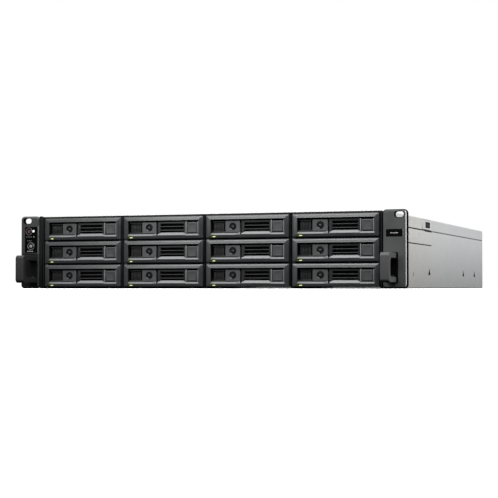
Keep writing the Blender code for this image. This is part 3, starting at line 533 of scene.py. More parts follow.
def lock_mesh():
    """The key lock: a collar round a lobed plug."""
    shape = Shape()
    collar = [(3.3, 1.95), (3.5, 1.7), (4.2, 1.7), (4.4, 1.85), (4.4, 2.2), (3.3, 2.2)]
    shape.turned(LOCK_CENTRE, collar, "recess", segments=28, looped=True)
    shape.turned(LOCK_CENTRE, [(3.1, 1.9), (3.35, 1.98), (3.35, 2.4)], "recess", segments=28)
    shape.turned(LOCK_CENTRE, [(0.7, 1.72), (0.95, 1.8), (0.95, 2.3)], "border", segments=16)
    x, z = LOCK_CENTRE
    shape.prism(rect((x - 0.35, x + 0.35), (z - 1.2, z + 1.2), 0.1, 1), (1.68, 1.9), "recess")
    # A light arc in the collar: a painted glint.
    glint = arc(LOCK_CENTRE, 4.3, 215, 262, 8) + arc(LOCK_CENTRE, 3.5, 262, 215, 8)
    shape.prism(glint, (1.45, 1.7), "lip")
    return shape.mesh("tray_lock")


def status_mesh():
    """The tray's two status lights in the lower left corner of its face."""
    shape = Shape()
    # The olive bed round the lamp is its painted glow.
    shape.prism(rect((6.8, 14.4), (0.9, 3.7), 1.0, 4), (0.5, 1.6), "led_painted_glow", "d", 0.15)
    shape.prism(rect((9.0, 12.8), (1.5, 3.3), 0.8, 4), (0.35, 1.2), "led_pale", "d", 0.2)
    shape.prism(rect((7.2, 10.4), (4.35, 4.95), 0.3, 3), (0.2, 2.0), "led_green", "d", 0.1)
    return shape.mesh("tray_lights")


def carrier_mesh():
    """The tray's frame behind the face: a cross bar, two folded side rails and their drive screws."""
    shape = Shape()
    shape.block((-1.6, 101.6), (14.6, 17.8), (0.9, 25.5), "black", 0.4)
    for side, edge in ((1, -1.6), (-1, 101.6)):
        wall = sorted((edge, edge + side * 0.95))
        shape.block(wall, (17.0, 173.9), (1.8, 23.4), "cage", 0.15)
        for depth in (50.0, 110.0, 152.0):
            head = [(2.0, edge + side * 0.05), (2.0, edge), (1.2, edge - side * 0.1)]
            shape.turned((depth, 8.2), head, "steel", "x", 16)
        ridge = sorted((edge - side * 0.06, edge + side * 0.3))
        shape.prism(rect((30.0, 166.0), (13.6, 15.0), 0.4, 1), ridge, "black", "x", 0.05)
    return shape.mesh("tray_carrier")


DRIVE_SCREWS = ((5, 32), (95, 32), (5, 98), (95, 98), (5, 168), (95, 168), (50, 32), (50, 168))


def drive_mesh():
    """A 3.5 inch hard drive: cast base, stepped steel lid with its screws, and the board's connector."""
    shape = Shape()
    shape.prism(rect((-0.4, 100.4), (0.9, 24.2), 1.2, 2), (27.2, 173.5), "casting", "d", 0.6)
    shape.prism(rect((1.4, 98.6), (28.8, 172.0), 4.0, 3), (24.0, 24.9), "drive_lid", "z", 0.25)
    raised = [(8.0, 49.0), (30.0, 35.0), (92.0, 35.0), (92.0, 134.0), (70.0, 164.0), (8.0, 164.0)]
    shape.prism(raised, (24.8, 25.3), "drive_lid", "z", 0.2)
    for centre in DRIVE_SCREWS:
        shape.turned(centre, [(1.9, 24.8), (1.9, 25.15), (1.2, 25.3)], "steel", "z", 14)
    shape.turned((46.0, 92.0), [(13.0, 25.2), (13.0, 25.38), (12.0, 25.44)], "drive_lid", "z", 32)
    shape.block((8.0, 52.0), (171.8, 174.0), (1.2, 6.6), "black", 0.3)
    return shape.mesh("hard_drive")


def lever_mesh():
    """The swinging grip: a slotted frame on its hinge barrel, with a finger lip along its foot, light grey
    and partly a painted highlight.
    """
    shape = Shape()
    barrel = [(2.0, 4.4), (2.4, 4.8), (2.4, 19.8), (2.0, 20.2)]
    shape.turned((LEVER_LEFT, LEVER_CENTRE_D), barrel, "lever", "z", 20)
    shape.block((LEVER_LEFT, LEVER_RIGHT), (1.9, 6.6), (17.8, 20.2), "lever", 0.4)
    for x in ((LEVER_LEFT, LEVER_LEFT + 1.8), (LEVER_RIGHT - 1.8, LEVER_RIGHT)):
        shape.block(x, (1.9, 6.6), (7.0, 18.2), "lever", 0.3)
    for z in ((9.95, 10.65), (14.15, 14.85)):
        shape.block((LEVER_LEFT + 1.4, LEVER_RIGHT - 1.4), (2.2, 6.2), z, "lip_dark", 0.15)
    shape.block((LEVER_LEFT + 1.2, LEVER_RIGHT - 1.4), (6.0, 6.6), (7.0, 18.2), "lever_back", 0.1)
    lip = [(1.3, 4.05), (0.9, 4.5), (1.5, 6.0), (3.2, 7.6), (6.6, 7.6), (6.6, 4.05)]
    left_end = [(43.3 + (z - lip[0][1]) * 1.15, d, z) for d, z in lip]
    shape.loft([left_end, [(LEVER_RIGHT, d, z) for d, z in lip]], "lip")
    return shape.mesh("tray_lever")


def button_mesh():
    """The square release button, slightly dished."""
    shape = Shape()
    levels = []
    for amount, d in ((0.0, 6.9), (0.0, 1.5), (0.2, 1.1), (0.6, 0.9), (1.6, 1.05), (4.0, 1.2)):
        outline = rect((82.1 + amount, 94.7 - amount), (6.7 + amount, 19.2 - amount), 0.6, 2)
        levels.append((outline, d))
    shape.loft(at_depths(levels), "button")
    return shape.mesh("tray_button")


def make_trays():
    parts = [
        ("tray_bezel", bezel_mesh(), "tray", "drive_tray", "bezel_plastic"),
        ("tray_carrier", carrier_mesh(), "tray", None, "cage_steel"),
        ("hard_drive", drive_mesh(), "tray", None, None),
        ("tray_lock", lock_mesh(), "tray", None, None),
        ("tray_lights", status_mesh(), "tray", None, None),
        ("lever", lever_mesh(), "lever", "tray_lever", "lever_plastic"),
        ("button", button_mesh(), "button", "tray_button", "button_plastic"),
    ]
    for tray in sorted(name for name in frame["nodes"] if name.startswith("drive_tray_")):
        tag = tray.removeprefix("drive_tray_")
        low, high = extent(tray)
        origin = ((low.x + high.x - WIDTH) / 2, low.y, low.z)
        for stem, mesh, body, node_stem, slot in parts:
            replaced = (f"{node_stem}_{tag}",) if node_stem else ()
            add(f"{stem}_{tag}", mesh, f"{body}_{tag}", origin, replaced)


# ---------------------------------------------------------------- rack ears and handles


RACK_SLOT_X = (226.7, 236.5)
RACK_SLOT_Z = (79.1, 85.5)
BADGE_X = (216.6, 235.4)
BADGE_Z = (57.6, 66.0)
PANEL_X = (-235.4, -218.0)
PANEL_Z = (43.3, 75.2)
EAR_BACK = 5.0


def rack_slot(cutter, side):
    """The rack screw's slot, with a chamfered mouth."""
    x = sorted((side * RACK_SLOT_X[0], side * RACK_SLOT_X[1]))
    mouth = rect((x[0] - 0.9, x[1] + 0.9), (RACK_SLOT_Z[0] - 0.9, RACK_SLOT_Z[1] + 0.9), 3.8, 6)
    through = rect(x, RACK_SLOT_Z, 3.0, 6)
    levels = [(mouth, -1.0), (mouth, 0.0), (through, 0.9), (through, EAR_BACK + 1)]
    cutter.loft(at_depths(levels), "matte_black")


def ear_leg(shape, side, outer):
    """The steel leg that carries the ear along the chassis side, with its screws."""
    x = sorted((side * (outer + 0.35), side * (outer + 1.85)))
    shape.block(x, (4.5, 42.0), (5.0, 83.0), "black", 0.3)
    for depth, z in ((16.0, 14.0), (16.0, 44.0), (16.0, 74.0), (33.0, 29.0), (33.0, 59.0)):
        shape.screw((depth, z), side * (outer + 1.7), "black_screw", 2.0, side, "x")


def make_ears():
    outer = extent("chassis_tub")[1].x
    inner, top = extent("right_ear")[0].x, extent("right_ear")[1].z
    edge = extent("right_ear")[1].x

    shape = Shape()
    face = rect((inner + 1.6, edge - 2.1), (2.0, top - 2.0), 2.6, 5)
    edge_ring = rect((inner + 1.0, edge - 1.45), (1.2, top - 1.2), 3.3, 5)
    full = rect((inner + 0.05, edge - 0.1), (0.1, top - 0.1), 4.4, 5)
    levels = [(face, 0.0), (edge_ring, 0.8), (full, 2.1), (full, EAR_BACK)]
    rings = at_depths(levels)
    # Only the outer side of the chamfer keeps the near-white painted highlight.
    bright = shape.loft(rings[:2], "ear_highlight_edge", caps=(False, False))
    shape.loft(rings[1:], "matte_black", caps=(False, True))
    # The right ear's face takes the lighter copy of the ear plastic, painted light.
    shape.loft([rings[0], [(u, d + 0.001, v) for u, d, v in rings[0]]], "ear_painted_lighter", caps=(True, False))
    for facet in bright:
        if facet.calc_center_median().x < edge - 3.4:
            facet.material_index = shape.looks.index("ear_painted_lighter")
    bmesh.ops.remove_doubles(shape.bm, verts=shape.bm.verts, dist=0.01)
    cutter = Shape()
    rack_slot(cutter, 1)
    cutter.prism(rect(BADGE_X, BADGE_Z, 1.2, 3), (-1.0, 0.8), "matte_black")
    mesh = cut(shape.mesh("right_ear_shell"), cutter)
    add("right_ear_shell", mesh, "chassis", replaces=("right_ear",))

    badge = Shape()
    plate_x, plate_z = (BADGE_X[0] + 0.3, BADGE_X[1] - 0.4), (BADGE_Z[0] + 0.3, BADGE_Z[1] - 0.3)
    badge.prism(rect(plate_x, plate_z, 1.0, 3), (0.12, 0.75), "matte_black", "d", 0.2)
    middle = ((plate_x[0] + plate_x[1]) / 2, (plate_z[0] + plate_z[1]) / 2)
    for i in range(7):
        left = middle[0] - 4.4 + i * 1.3
        mark = rect((left, left + 0.8), (middle[1] - 0.6, middle[1] + 0.6), 0.2, 1)
        badge.prism(mark, (0.06, 0.2), "print")
    # A light strip at the badge's right end: a painted glint.
    glint_x, glint_z = (BADGE_X[1] + 0.15, BADGE_X[1] + 0.85), (BADGE_Z[0] + 0.8, BADGE_Z[1] - 0.5)
    badge.block(glint_x, (-0.15, 0.5), glint_z, "border", 0.15)
    add("badge_plate", badge, "chassis")

    shape = Shape()
    cover_x = (-edge, -217.6)
    face = rect((cover_x[0] + 2.0, cover_x[1]), (2.0, top - 2.0), 2.6, 5)
    full = rect((cover_x[0] + 0.1, cover_x[1] + 1.1), (0.1, top - 0.1), 4.4, 5)
    levels = ((face, 0.0), (full, 1.7), (full, EAR_BACK))
    shape.loft(at_depths(levels), "ear")
    cutter = Shape()
    rack_slot(cutter, -1)
    cutter.prism(rect(PANEL_X, PANEL_Z, 1.5, 4), (-1.0, 0.6), "black")
    for button in ("power_button", "mute_button"):
        centre = middle_of(button)
        cutter.turned(centre, [(3.95, -1), (3.95, EAR_BACK + 1)], "black", segments=32)
        cutter.turned(centre, [(4.9, 3.0), (4.9, EAR_BACK + 1)], "black", segments=32)
    mesh = cut(shape.mesh("left_ear_cover"), cutter)
    add("left_ear_cover", mesh, "chassis", replaces=("left_ear",))

    frames = Shape()
    frames.prism(rect((-216.2, -inner), (0.2, top - 0.2), 0.6, 1), (1.5, EAR_BACK), "black", "d", 0.3)
    # A light line at the left ear cover's inner edge: a painted highlight.
    frames.block((-217.5, -216.9), (0.1, 1.5), (42.5, 76.0), "lip", 0.15)
    # A matte black plate behind the right handle: painted shade on the ear face seen through the handle.
    low, high = extent("right_handle")
    plate = rect((low.x - 1.2, high.x + 1.6), (low.z - 0.9, high.z + 0.9), 1.5, 3)
    frames.prism(plate, (-0.28, 0.3), "matte_black", "d", 0.1)
    # A black plate over the left ear's lower face: painted shade.
    frames.prism(rect((-edge + 1.9, -217.7), (2.4, 42.8), 1.5, 3), (-0.2, 0.3), "black", "d", 0.1)
    for side in (-1, 1):
        ear_leg(frames, side, outer)
    add("ear_frames", frames, "chassis")


def make_dividers():
    """Black edges on the cage's upright walls, between the columns of trays."""
    first, last = extent("drive_tray_1_1"), extent("drive_tray_2_1")
    pitch = last[0].x - first[0].x
    start = first[0].x + (first[1].x - first[0].x) / 2 - pitch / 2
    shape = Shape()
    for column in range(1, 4):
        x = start + column * pitch
        shape.block((x - 0.6, x + 0.6), (2.6, 5.4), (1.8, 84.8), "black", 0.2)
    add("bay_dividers", shape, "chassis")


def make_handles():
    """Pull handles with rounded edges and the screw behind the bar."""
    for name, side in (("left", -1), ("right", 1)):
        low, high = extent(f"{name}_handle")
        front, root = low.y, high.y
        outer, inner, bar = 4.0, 5.0, 6.0
        inside = front + bar
        outline = [(root, low.z)]
        outline += arc((front + outer, low.z + outer), outer, 270, 180, 6)
        outline += arc((front + outer, high.z - outer), outer, 180, 90, 6)
        outline += [(root, high.z), (root, high.z - bar)]
        outline += arc((inside + inner, high.z - bar - inner), inner, 90, 180, 6)
        outline += arc((inside + inner, low.z + bar + inner), inner, 180, 270, 6)
        outline.append((root, low.z + bar))
        shape = Shape()
        # The left handle takes the darker copy of the handle plastic, painted shade.
        shape.prism(outline, (low.x, high.x), "handle" if side > 0 else "handle_painted_darker", "x", 0.5)
        shape.screw((side * 224.0, 12.8), 0.0, "black_screw", 2.2)
        piece_name = f"{name}_pull_handle"
        mesh = shape.mesh(piece_name)
        add(piece_name, mesh, "chassis", replaces=(f"{name}_handle",))


def make_control_panel():
    """Black inlay with two ringed buttons, two lights and small generic marks."""
    shape = Shape()
    inlay = rect((PANEL_X[0] + 0.2, PANEL_X[1] - 0.2), (PANEL_Z[0] + 0.2, PANEL_Z[1] - 0.2), 1.3, 4)
    shape.prism(inlay, (0.25, 0.58), "matte_black", "d", 0.12)
    cutter = Shape()
    centres = [middle_of("power_button"), middle_of("mute_button")]
    for centre in centres:
        cutter.turned(centre, [(3.95, -1), (3.95, 2)], "gloss", segments=32)
    mesh = cut(shape.mesh("control_panel"), cutter)
    add("control_panel", mesh, "chassis")

    rings = Shape()
    section = [(3.98, 0.3), (4.15, 0.1), (4.45, 0.1), (4.6, 0.3)]
    for centre, look in zip(centres, ("power_ring", "grey_ring")):
        rings.turned(centre, section, look, segments=36, looped=True)
    marks = ((-232.6, 62.9, 4, "grey_mark"), (-231.0, 58.1, 3, "grey_mark"), (-231.0, 45.4, 4, "print"))
    for x, z, count, look in marks:
        for i in range(count):
            left = x - 1.0 + i * 2.1
            rings.prism(rect((left, left + 1.3), (z - 0.5, z + 0.5), 0.3, 2), (0.16, 0.26), look)
    add("panel_rings", rings, "chassis")

    lights = Shape()
    lights.turned((-223.6, 69.8), [(1.5, 0.3), (1.4, 0.08), (0.6, 0.0)], "led_white", segments=20)
    lights.turned((-223.2, 62.9), [(0.8, 0.3), (0.7, 0.1), (0.3, 0.05)], "led_olive", segments=20)
    add("panel_lights", lights, "chassis")

    radius = 3.6
    profile = [(radius + 0.9, 4.2), (radius + 0.9, 3.4), (radius, 3.4), (radius, 0.45)]
    profile += [(radius - 0.3, 0.15), (radius - 1.2, 0.1), (1.2, 0.3)]
    buttons = zip(("power_button", "mute_button"), centres, ("power_ring", "print"))
    for name, centre, mark in buttons:
        cap = Shape()
        cap.turned(centre, profile, "gloss", segments=36)
        cap.turned(centre, [(1.0, 0.22), (1.0, 0.4), (1.6, 0.4), (1.6, 0.18)], mark, segments=28, looped=True)
        stroke = rect((centre[0] - 0.25, centre[0] + 0.25), (centre[1], centre[1] + 1.9), 0.1, 1)
        cap.prism(stroke, (0.12, 0.4), mark)
        add(f"{name}_cap", cap, name, replaces=(name,))


# ---------------------------------------------------------------- chassis


KEYHOLES_D = (230.0, 456.0, 542.0)
KEYHOLE_Z = 19.6
PAD_Z = (73.9, 85.9)
RAIL_SLOT_D = (138.7, 140.9)
RAIL_SLOT_Z = (14.7, 19.5)
RIVETS_D = (62.0, 118.0, 174.0, 300.0, 386.0, 480.0, 566.0)
RIVET_Z = 66.5
LOW_RIVETS_D = (90.0, 360.0, 600.0)
LOW_RIVET_Z = 6.0
PORTS = [f"network_socket_{i}" for i in (1, 2, 3, 4)]
PORTS += ["usb_socket_1", "usb_socket_2", "expansion_socket"]
FAN_X = 181.0
FAN_RADIUS = 16.0


def skin(face, side, deep, proud):
    """Span in X around a side wall's outer face, from a depth in it to a height above it."""
    return sorted((face - side * deep, face + side * proud))


def middle_of(node):
    """Middle of a CAD node as seen from the front."""
    low, high = extent(node)
    return (low.x + high.x) / 2, (low.z + high.z) / 2


def make_chassis_details():
    """Seams, keyholes and rivets in the side walls, the cover's flange plug, and the cover screws."""
    tub_high = extent("chassis_tub")[1]
    side_x = tub_high.x
    cover_low, cover_high = extent("top_cover_rear")
    front_low, front_high = extent("top_cover_front")

    plugs = Shape()
    pad_d = (front_high.y - 52.5, front_high.y - 0.8)
    for side in (-1, 1):
        face = side * side_x
        pad = Shape()
        pad.prism(rect(pad_d, PAD_Z, 0.8, 2), skin(face, side, 0.4, 0.3), "zinc", "x", 0.1)
        window = Shape()
        window.prism(rect((206.4, 233.1), (76.0, 83.4), 2.0, 4), skin(face, side, 1, 1), "recess", "x")
        name = f"cover_pad_{'left' if side < 0 else 'right'}"
        add(name, cut(pad.mesh(name), window), "chassis")
        rim = rect((pad_d[0] - 0.9, pad_d[1] + 0.7), (73.5, 86.3), 1.4, 2)
        plugs.tube(rim, 1.2, skin(face, side, 0.2, 0.06), "lip_dark", "x")
        mouth = rect((206.0, 233.5), (75.8, 83.6), 2.2, 4)
        plugs.prism(mouth, skin(face, side, 0.65, -0.35), "recess", "x", 0.1)
        for i in range(4):
            left = 209.5 + i * 5.6
            ridge = skin(face, side, 0.4, -0.15)
            plugs.prism(rect((left, left + 2.4), (77.6, 81.8), 0.4, 2), ridge, "patch", "x")
        shadow = rect((front_high.y - 40.0, front_high.y), (71.3, 73.3))
        plugs.prism(shadow, skin(face, side, 0.5, 0.04), "recess", "x")
        # The seam and fold gaps are filled with painted shade: black by the front cover, grey along the rear
        # cover.
        seam = skin(face, side, 1.1, -0.12)
        plugs.prism(rect((front_low.y + 1, front_high.y), (72.3, 73.25)), seam, "recess", "x")
        plugs.prism(rect((front_high.y, cover_high.y - 0.5), (72.45, 73.25)), seam, "seam_grey", "x")
        fold = skin(face, side, 0.55, -0.1)
        plugs.prism(rect((front_low.y + 1, front_high.y - 0.2), (53.95, 55.05)), fold, "recess", "x")
        plugs.prism(rect((cover_high.y - 19.3, cover_high.y - 18.7), (4.2, 69.8)), fold, "lip_dark", "x")
        # Keyhole-shaped black plates just proud of the wall: painted shade standing in for the holes.
        for depth in KEYHOLES_D:
            half = [(5.2, -2.7), (5.2, -0.4), (2.4, 1.6), (1.3, 4.6)]
            hole = [(depth + d, KEYHOLE_Z + z) for d, z in half]
            hole += [(depth - d, KEYHOLE_Z + z) for d, z in reversed(half)]
            plugs.prism(hole, skin(face, side, 0.8, 0.05), "matte_black", "x")
        plugs.prism(rect(RAIL_SLOT_D, RAIL_SLOT_Z), skin(face, side, 0.8, -0.06), "recess", "x")
    add("side_details", plugs, "chassis")

    studs = Shape()
    for side in (-1, 1):
        face = side * side_x
        root, rim = face - side * 0.3, face - side * 0.02
        head = [(1.9, root), (1.9, rim), (1.2, face + side * 0.12)]
        low_head = [(1.7, root), (1.7, rim), (1.1, face + side * 0.1)]
        for depth in RIVETS_D:
            studs.turned((depth, RIVET_Z), head, "steel", "x", 18)
        for depth in LOW_RIVETS_D:
            studs.turned((depth, LOW_RIVET_Z), low_head, "steel", "x", 18)
    add("side_rivets", studs, "chassis")

    top = cover_high.z
    lid = Shape()
    head = [(3.4, top - 0.6), (3.4, top - 0.02), (2.6, top + 0.02), (1.4, top - 0.3)]
    for x in (-206.0, 206.0):
        for depth in (270.0, 440.0, 590.0):
            lid.turned((x, depth), head, "steel", "z", 24)
    back = cover_high.y
    surround = rect((-30.0, 30.0), (back - 34.0, back - 14.0), 6.0, 6)
    lid.prism(surround, (top - 0.4, top + 0.03), "black", "z", 0.1)
    touch_pad = rect((-24.0, 24.0), (back - 30.0, back - 18.0), 4.0, 6)
    lid.prism(touch_pad, (top - 0.3, top + 0.06), "latch", "z", 0.1)
    add("rear_cover_latch", lid, "rear_cover")

    crown = Shape()
    head = [(2.4, top - 0.5), (2.4, top - 0.02), (1.7, top + 0.03), (0.9, top - 0.2)]
    for x in (-200.0, -100.0, 0.0, 100.0, 200.0):
        for depth in (front_low.y + 10.0, front_high.y - 12.0):
            crown.turned((x, depth), head, "steel", "z", 20)
    add("front_cover_screws", crown, "chassis")


def make_rear():
    """The rear wall: perforated vents, slot brackets and ports, and the bay for the two power supplies."""
    low, high = extent("rear_panel")
    face, inner = high.y, low.y
    supply_low, supply_high = extent("psu_module_1")
    bay = (supply_low.x - 0.6, supply_high.x + 0.6)
    ports = {name: opening(name) for name in PORTS}

    panel = Shape()
    step = 70.6
    right_half = [(high.x - 0.05, low.z + 0.05), (high.x - 0.05, step)]
    right_half += [(high.x - 1.8, step), (high.x - 1.8, high.z - 0.05)]
    outline = right_half + [(-x, z) for x, z in reversed(right_half)]
    panel.prism(outline, (inner, face), "zinc")
    cutter = Shape()
    cuts = [((bay[0], bay[1]), (2.6, 84.4))]
    vents = [((-206.0, -16.0), (32.0, 76.0)), ((-6.0, 48.0), (32.0, 76.0)), ((-206.0, -150.0), (8.0, 26.0))]
    cuts += vents
    cuts += [((x - 7.2, x + 7.2), (11.0, 79.0)) for x in (60, 82)]
    for port_low, port_high in ports.values():
        cuts.append(((port_low.x - 1.6, port_high.x + 1.6), (port_low.z - 1.2, port_high.z + 1.2)))
    for x, z in cuts:
        cutter.prism(rect(x, z), (inner - 2, face + 2), "zinc")
    mesh = cut(panel.mesh("rear_wall"), cutter)
    add("rear_wall", mesh, "chassis", replaces=("rear_panel",))

    grilles = Shape()
    for x, z in vents:
        grilles.perforated(x, z, (inner + 0.2, face - 0.2), 5.2, 2.05, "zinc")
    add("rear_vents", grilles, "chassis")

    brackets = Shape()
    for x in (60, 82):
        plate = rect((x - 7.1, x + 7.1), (11.1, 78.9), 0.8, 2)
        brackets.prism(plate, (face - 1.1, face - 0.3), "zinc", "d", 0.15)
        for i in range(9):
            z = 20.0 + i * 6.0
            louvre = rect((x - 4.5, x + 4.5), (z, z + 2.2), 1.0, 3)
            brackets.prism(louvre, (face - 0.36, face - 0.25), "recess")
        brackets.screw((x, 80.9), face, "steel", 1.7, 1)
    for x in (-209.0, 116.0):
        for z in (6.0, 66.0):
            brackets.screw((x, z), face, "steel", 1.9, 1)
    add("slot_brackets", brackets, "chassis")

    shells = Shape()
    for name, (port_low, port_high) in ports.items():
        x, z = (port_low.x, port_high.x), (port_low.z, port_high.z)
        outline = rect((x[0] - 1.5, x[1] + 1.5), (z[0] - 1.1, z[1] + 1.1), 0.5, 2)
        shells.tube(outline, 0.9, (port_low.y + 0.1, face - 0.1), "nickel")
        back = port_low.y
        around_x, around_z = (x[0] - 0.4, x[1] + 0.4), (z[0] - 0.3, z[1] + 0.3)
        shells.block(around_x, (back - 0.5, back + 0.6), around_z, "black", 0.1)
        if name.startswith("network"):
            pin_d, pin_z = (back + 0.4, face - 4.0), (z[1] - 0.9, z[1] - 0.4)
            for i in range(8):
                pin = x[0] + 1.8 + i * 1.08
                shells.block((pin, pin + 0.5), pin_d, pin_z, "gold", 0.08)
            lamp_d, lamp_z = (face - 1.2, face - 0.15), (z[1] - 1.2, z[1] - 0.1)
            for corner, look in ((x[0] + 0.2, "led_green"), (x[1] - 1.6, "led_amber")):
                shells.block((corner, corner + 1.4), lamp_d, lamp_z, look, 0.1)
        if name.startswith("usb"):
            middle = (z[0] + z[1]) / 2
            tongue_x, tongue_z = (x[0] + 0.8, x[1] - 0.8), (middle + 0.1, middle + 1.5)
            shells.block(tongue_x, (back + 0.4, face - 1.2), tongue_z, "blue", 0.15)
        if name.startswith("expansion"):
            for i in range(2):
                left = x[0] + 1.2 + i * 11.6
                bar_d, bar_z = (back + 0.4, face - 3.0), (z[0] + 1.9, z[1] - 1.9)
                shells.block((left, left + 9.6), bar_d, bar_z, "black", 0.15)
    add("rear_ports", shells, "chassis")


def make_supplies():
    """Plug-in power supplies: folded case, mains inlet, fan behind a wire guard, and pull handle."""
    for number in (1, 2):
        node_name = f"psu_module_{number}"
        body = f"psu_{number}"
        low, high = extent(node_name)
        centre_z = (low.z + high.z) / 2
        inlet_low, inlet_high = opening(f"mains_inlet_{number}")
        face = extent("rear_panel")[1].y

        case = Shape()
        case.prism(rect((low.x, high.x), (low.z, high.z), 0.8, 2), (low.y, face), "supply", "d", 0.5)
        cutter = Shape()
        inlet_x = (inlet_low.x - 0.6, inlet_high.x + 0.6)
        inlet_z = (inlet_low.z - 0.6, inlet_high.z + 0.6)
        outline = rect(inlet_x, inlet_z, 2.2, 4)
        cutter.prism(outline, (face - 15.8, face + 1), "recess")
        bore = [(FAN_RADIUS, face - 12), (FAN_RADIUS, face + 1)]
        cutter.turned((FAN_X, centre_z), bore, "recess", segments=40)
        latch_low, _ = extent(f"psu_latch_{number}")
        pocket = rect((latch_low.x - 2.6, high.x + 1), (centre_z - 6, centre_z + 6))
        cutter.prism(pocket, (latch_low.y - 1, face + 1), "recess")
        mesh = cut(case.mesh(f"supply_case_{number}"), cutter)
        add(f"supply_case_{number}", mesh, body, replaces=(node_name,))

        inlet = Shape()
        inlet.tube(outline, 1.0, (face - 15.7, face + 0.6), "black")
        inlet.prism(inset(outline, 0.8), (face - 15.7, face - 13.0), "black", "d", 0.2)
        middle = ((inlet_low.x + inlet_high.x) / 2, centre_z)
        for x, z in ((0, 3.0), (-6.5, -1.6), (6.5, -1.6)):
            pin_x = (middle[0] + x - 1.0, middle[0] + x + 1.0)
            pin_z = (z + middle[1] - 2.2, z + middle[1] + 2.2)
            inlet.block(pin_x, (face - 13.2, face - 3.0), pin_z, "nickel", 0.3)
        lens = [(1.2, face - 0.2), (1.1, face + 0.3), (0.5, face + 0.5)]
        inlet.turned((167.6, centre_z + 16.6), lens, "led_green", segments=18)
        add(f"mains_inlet_{number}", inlet, body)

        guard = Shape()
        for radius in (5.0, 9.0, 13.0, 16.4):
            centre_d = face + 0.5
            section = arc((radius, centre_d), 0.55, 0, 360, 6)[:-1]
            guard.turned((FAN_X, centre_z), section, "nickel", segments=36, looped=True)
        for i in range(4):
            angle = math.radians(45 + 90 * i)
            start = (FAN_X + 4.6 * math.cos(angle), centre_z + 4.6 * math.sin(angle))
            end = (FAN_X + 16.6 * math.cos(angle), centre_z + 16.6 * math.sin(angle))
            across = (-math.sin(angle) * 0.5, math.cos(angle) * 0.5)
            ends = ((start, -1), (end, -1), (end, 1), (start, 1))
            spoke = [(point[0] + way * across[0], point[1] + way * across[1]) for point, way in ends]
            guard.prism(spoke, (face + 0.1, face + 1.0), "nickel")
        guard.turned((FAN_X, centre_z), [(6.5, face - 3), (6.5, face - 11.8)], "fan", segments=28)
        for i in range(7):
            start = math.tau * i / 7
            rings = []
            for depth, twist in ((face - 4, 0.0), (face - 7, 0.3), (face - 10, 0.6)):
                ring = [(6.0, 0.0), (15.2, 0.12), (15.2, 0.3), (6.0, 0.24)]
                turned = [(r, start + twist + a) for r, a in ring]
                blade = [(FAN_X + r * math.cos(t), centre_z + r * math.sin(t)) for r, t in turned]
                rings.append([(x, depth, z) for x, z in blade])
            guard.loft(rings, "fan")
        add(f"supply_fan_{number}", guard, body)

        grip = Shape()
        handle = high.y
        root = face - 1.0
        upper = [(handle, 15.6), (handle - 2.4, 18.0), (root, 18.0), (root, 14.6), (handle - 4.6, 14.6)]
        section = [(root, -18.0), (handle - 2.4, -18.0), (handle, -15.6)]
        section += upper + [(handle - 4.6, -14.6), (root, -14.6)]
        grip.prism([(d, z + centre_z) for d, z in section], (177.0, 184.0), "black", "x", 0.6)
        add(f"supply_handle_{number}", grip, body)
        dress(f"psu_latch_{number}", LOOKS["latch"], 0.4)


def dress_kept_nodes():
    for name in ("chassis_tub", "top_cover_front", "top_cover_rear"):
        dress(name, LOOKS["zinc"], 0.3)
    dress("front_frame", LOOKS["frame_paint"], 0.3)
    dress("drive_cage", LOOKS["cage"])
    for name in ("backplane_board", "motherboard", "memory_module"):
        dress(name, LOOKS["board"])
    dress("cpu_heatsink", LOOKS["heatsink"])
    dress("fan_bracket", LOOKS["fan"])
    for number in (1, 2, 3):
        dress(f"fan_rotor_{number}", LOOKS["fan"])


# ---------------------------------------------------------------- stage

CAMERA_PLACE = (0.5776, -1.4421, 0.0026)
CAMERA_TURN = 19.90
CAMERA_TILT = 1.602
CAMERA_LENS = 96.77


# The white backdrop's direction, the room's tones from the side facing away from it to the backdrop
# itself (as shares of the turn and brightness), and how much brighter the ceiling is.
BACKDROP = (-0.34, 0.94, 0.0)
ROOM_TONES = [(0.0, 0.05), (0.3, 0.12), (0.75, 0.30), (0.92, 0.50), (0.975, 1.0)]
CEILING = 1.5


def make_camera():
    camera = bpy.data.objects.new("camera", bpy.data.cameras.new("camera"))
    bpy.context.scene.collection.objects.link(camera)
    camera.location = Vector(CAMERA_PLACE) + Vector((0, EAR_FRONT, 0))
    camera.rotation_euler = (math.radians(90 + CAMERA_TILT), 0, math.radians(CAMERA_TURN))
    camera.data.lens = CAMERA_LENS
    camera.data.sensor_width = 36.0
    camera.data.clip_start = 0.001
    bpy.context.scene.camera = camera


def softbox(name, location, target, size, radiance, reflected=True):
    light = bpy.data.lights.new(name, "AREA")
    light.shape = "RECTANGLE"
    light.size, light.size_y = size
    light.energy = radiance * math.pi * size[0] * size[1]
    lamp = bpy.data.objects.new(name, light)
    bpy.context.scene.collection.objects.link(lamp)
    lamp.location = location
    aim = Vector(target) - Vector(location)
    lamp.rotation_euler = aim.to_track_quat("-Z", "Y").to_euler()
    lamp.visible_camera = False
    lamp.visible_glossy = reflected


def make_floor():
    look, tree, shader = new_look("floor_paper", 1.0)
    shader.inputs["Specular IOR Level"].default_value = 0.0
    place = node(tree, "ShaderNodeTexCoord").outputs["Object"]
    colours = tinted(tree, noise(tree, place, 60.0, 4.0), (0.90, 0.90, 0.90), (0.93, 0.93, 0.93))
    tree.links.new(colours, shader.inputs["Base Color"])
    size = 20.0
    mesh = bpy.data.meshes.new("floor")
    corners = [(-size, -size, 0), (size, -size, 0), (size, size, 0), (-size, size, 0)]
    mesh.from_pydata(corners, [], [(0, 1, 2, 3)])
    mesh.materials.append(look)
    floor = bpy.data.objects.new("floor", mesh)
    bpy.context.scene.collection.objects.link(floor)
    floor.visible_diffuse = False
    floor.visible_glossy = False


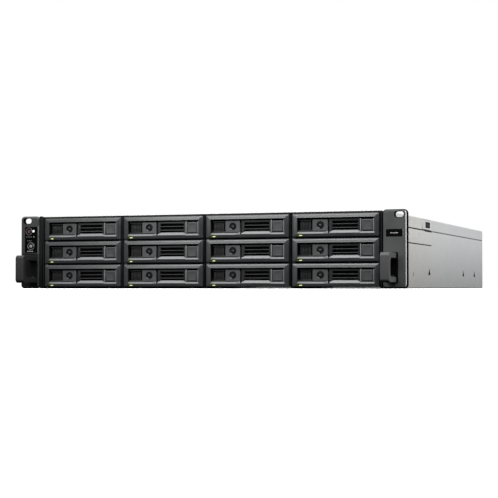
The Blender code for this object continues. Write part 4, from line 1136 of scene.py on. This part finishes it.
def make_light():
    """A white backdrop, a dim room in front, a bright ceiling, and soft boxes above and at the sides."""
    scene = bpy.context.scene
    scene.view_settings.view_transform = "Standard"
    world = bpy.data.worlds.new("studio")
    scene.world = world
    world.use_nodes = True
    tree = world.node_tree
    direction = node(tree, "ShaderNodeTexCoord").outputs["Generated"]
    along = {0: direction, 1: BACKDROP}
    towards = node(tree, "ShaderNodeVectorMath", along, operation="DOT_PRODUCT").outputs["Value"]
    share = mapped(tree, towards, -1.0, 1.0)
    ramp = node(tree, "ShaderNodeValToRGB", {"Fac": share})
    stops = ramp.color_ramp.elements
    stops[0].position, stops[1].position = ROOM_TONES[0][0], ROOM_TONES[-1][0]
    for position, _ in ROOM_TONES[1:-1]:
        stops.new(position)
    for stop, (_, tone) in zip(stops, ROOM_TONES):
        stop.color = (tone, tone, tone, 1)
    height = part_of(tree, direction, "Z")
    ceiling = mapped(tree, height, 0.35, 0.8, 0.0, CEILING, interpolation_type="SMOOTHSTEP")
    ground = mapped(tree, height, -0.3, -0.01, 0.08)
    above = {6: ramp.outputs["Color"], 7: ceiling, 0: 1.0}
    total = node(tree, "ShaderNodeMix", above, data_type="RGBA", blend_type="ADD").outputs[2]
    dimmed = {6: total, 7: ground, 0: 1.0}
    room = node(tree, "ShaderNodeMix", dimmed, data_type="RGBA", blend_type="MULTIPLY").outputs[2]
    seen = node(tree, "ShaderNodeLightPath").outputs["Is Camera Ray"]
    shown = node(tree, "ShaderNodeMix", {6: room, 0: seen}, data_type="RGBA")
    shown.inputs[7].default_value = (1, 1, 1, 1)
    background = tree.nodes["Background"]
    tree.links.new(shown.outputs[2], background.inputs["Color"])
    background.inputs["Strength"].default_value = 1.0

    softbox("front_top_box", (0.12, EAR_FRONT - 0.27, 0.36), (0.12, EAR_FRONT, 0.05), (0.76, 0.16), 10.0)
    softbox("right_box", (1.60, EAR_FRONT + 0.55, 0.50), (0.22, EAR_FRONT + 0.30, 0.04), (0.6, 0.5), 20.0)
    softbox("left_box", (-0.25, EAR_FRONT - 0.42, 0.20), (0.10, EAR_FRONT, 0.05), (0.14, 0.14), 8.0)


def main():
    make_camera()
    dress_kept_nodes()
    make_trays()
    make_ears()
    make_dividers()
    make_handles()
    make_control_panel()
    make_chassis_details()
    make_rear()
    make_supplies()
    make_floor()
    make_light()


main()
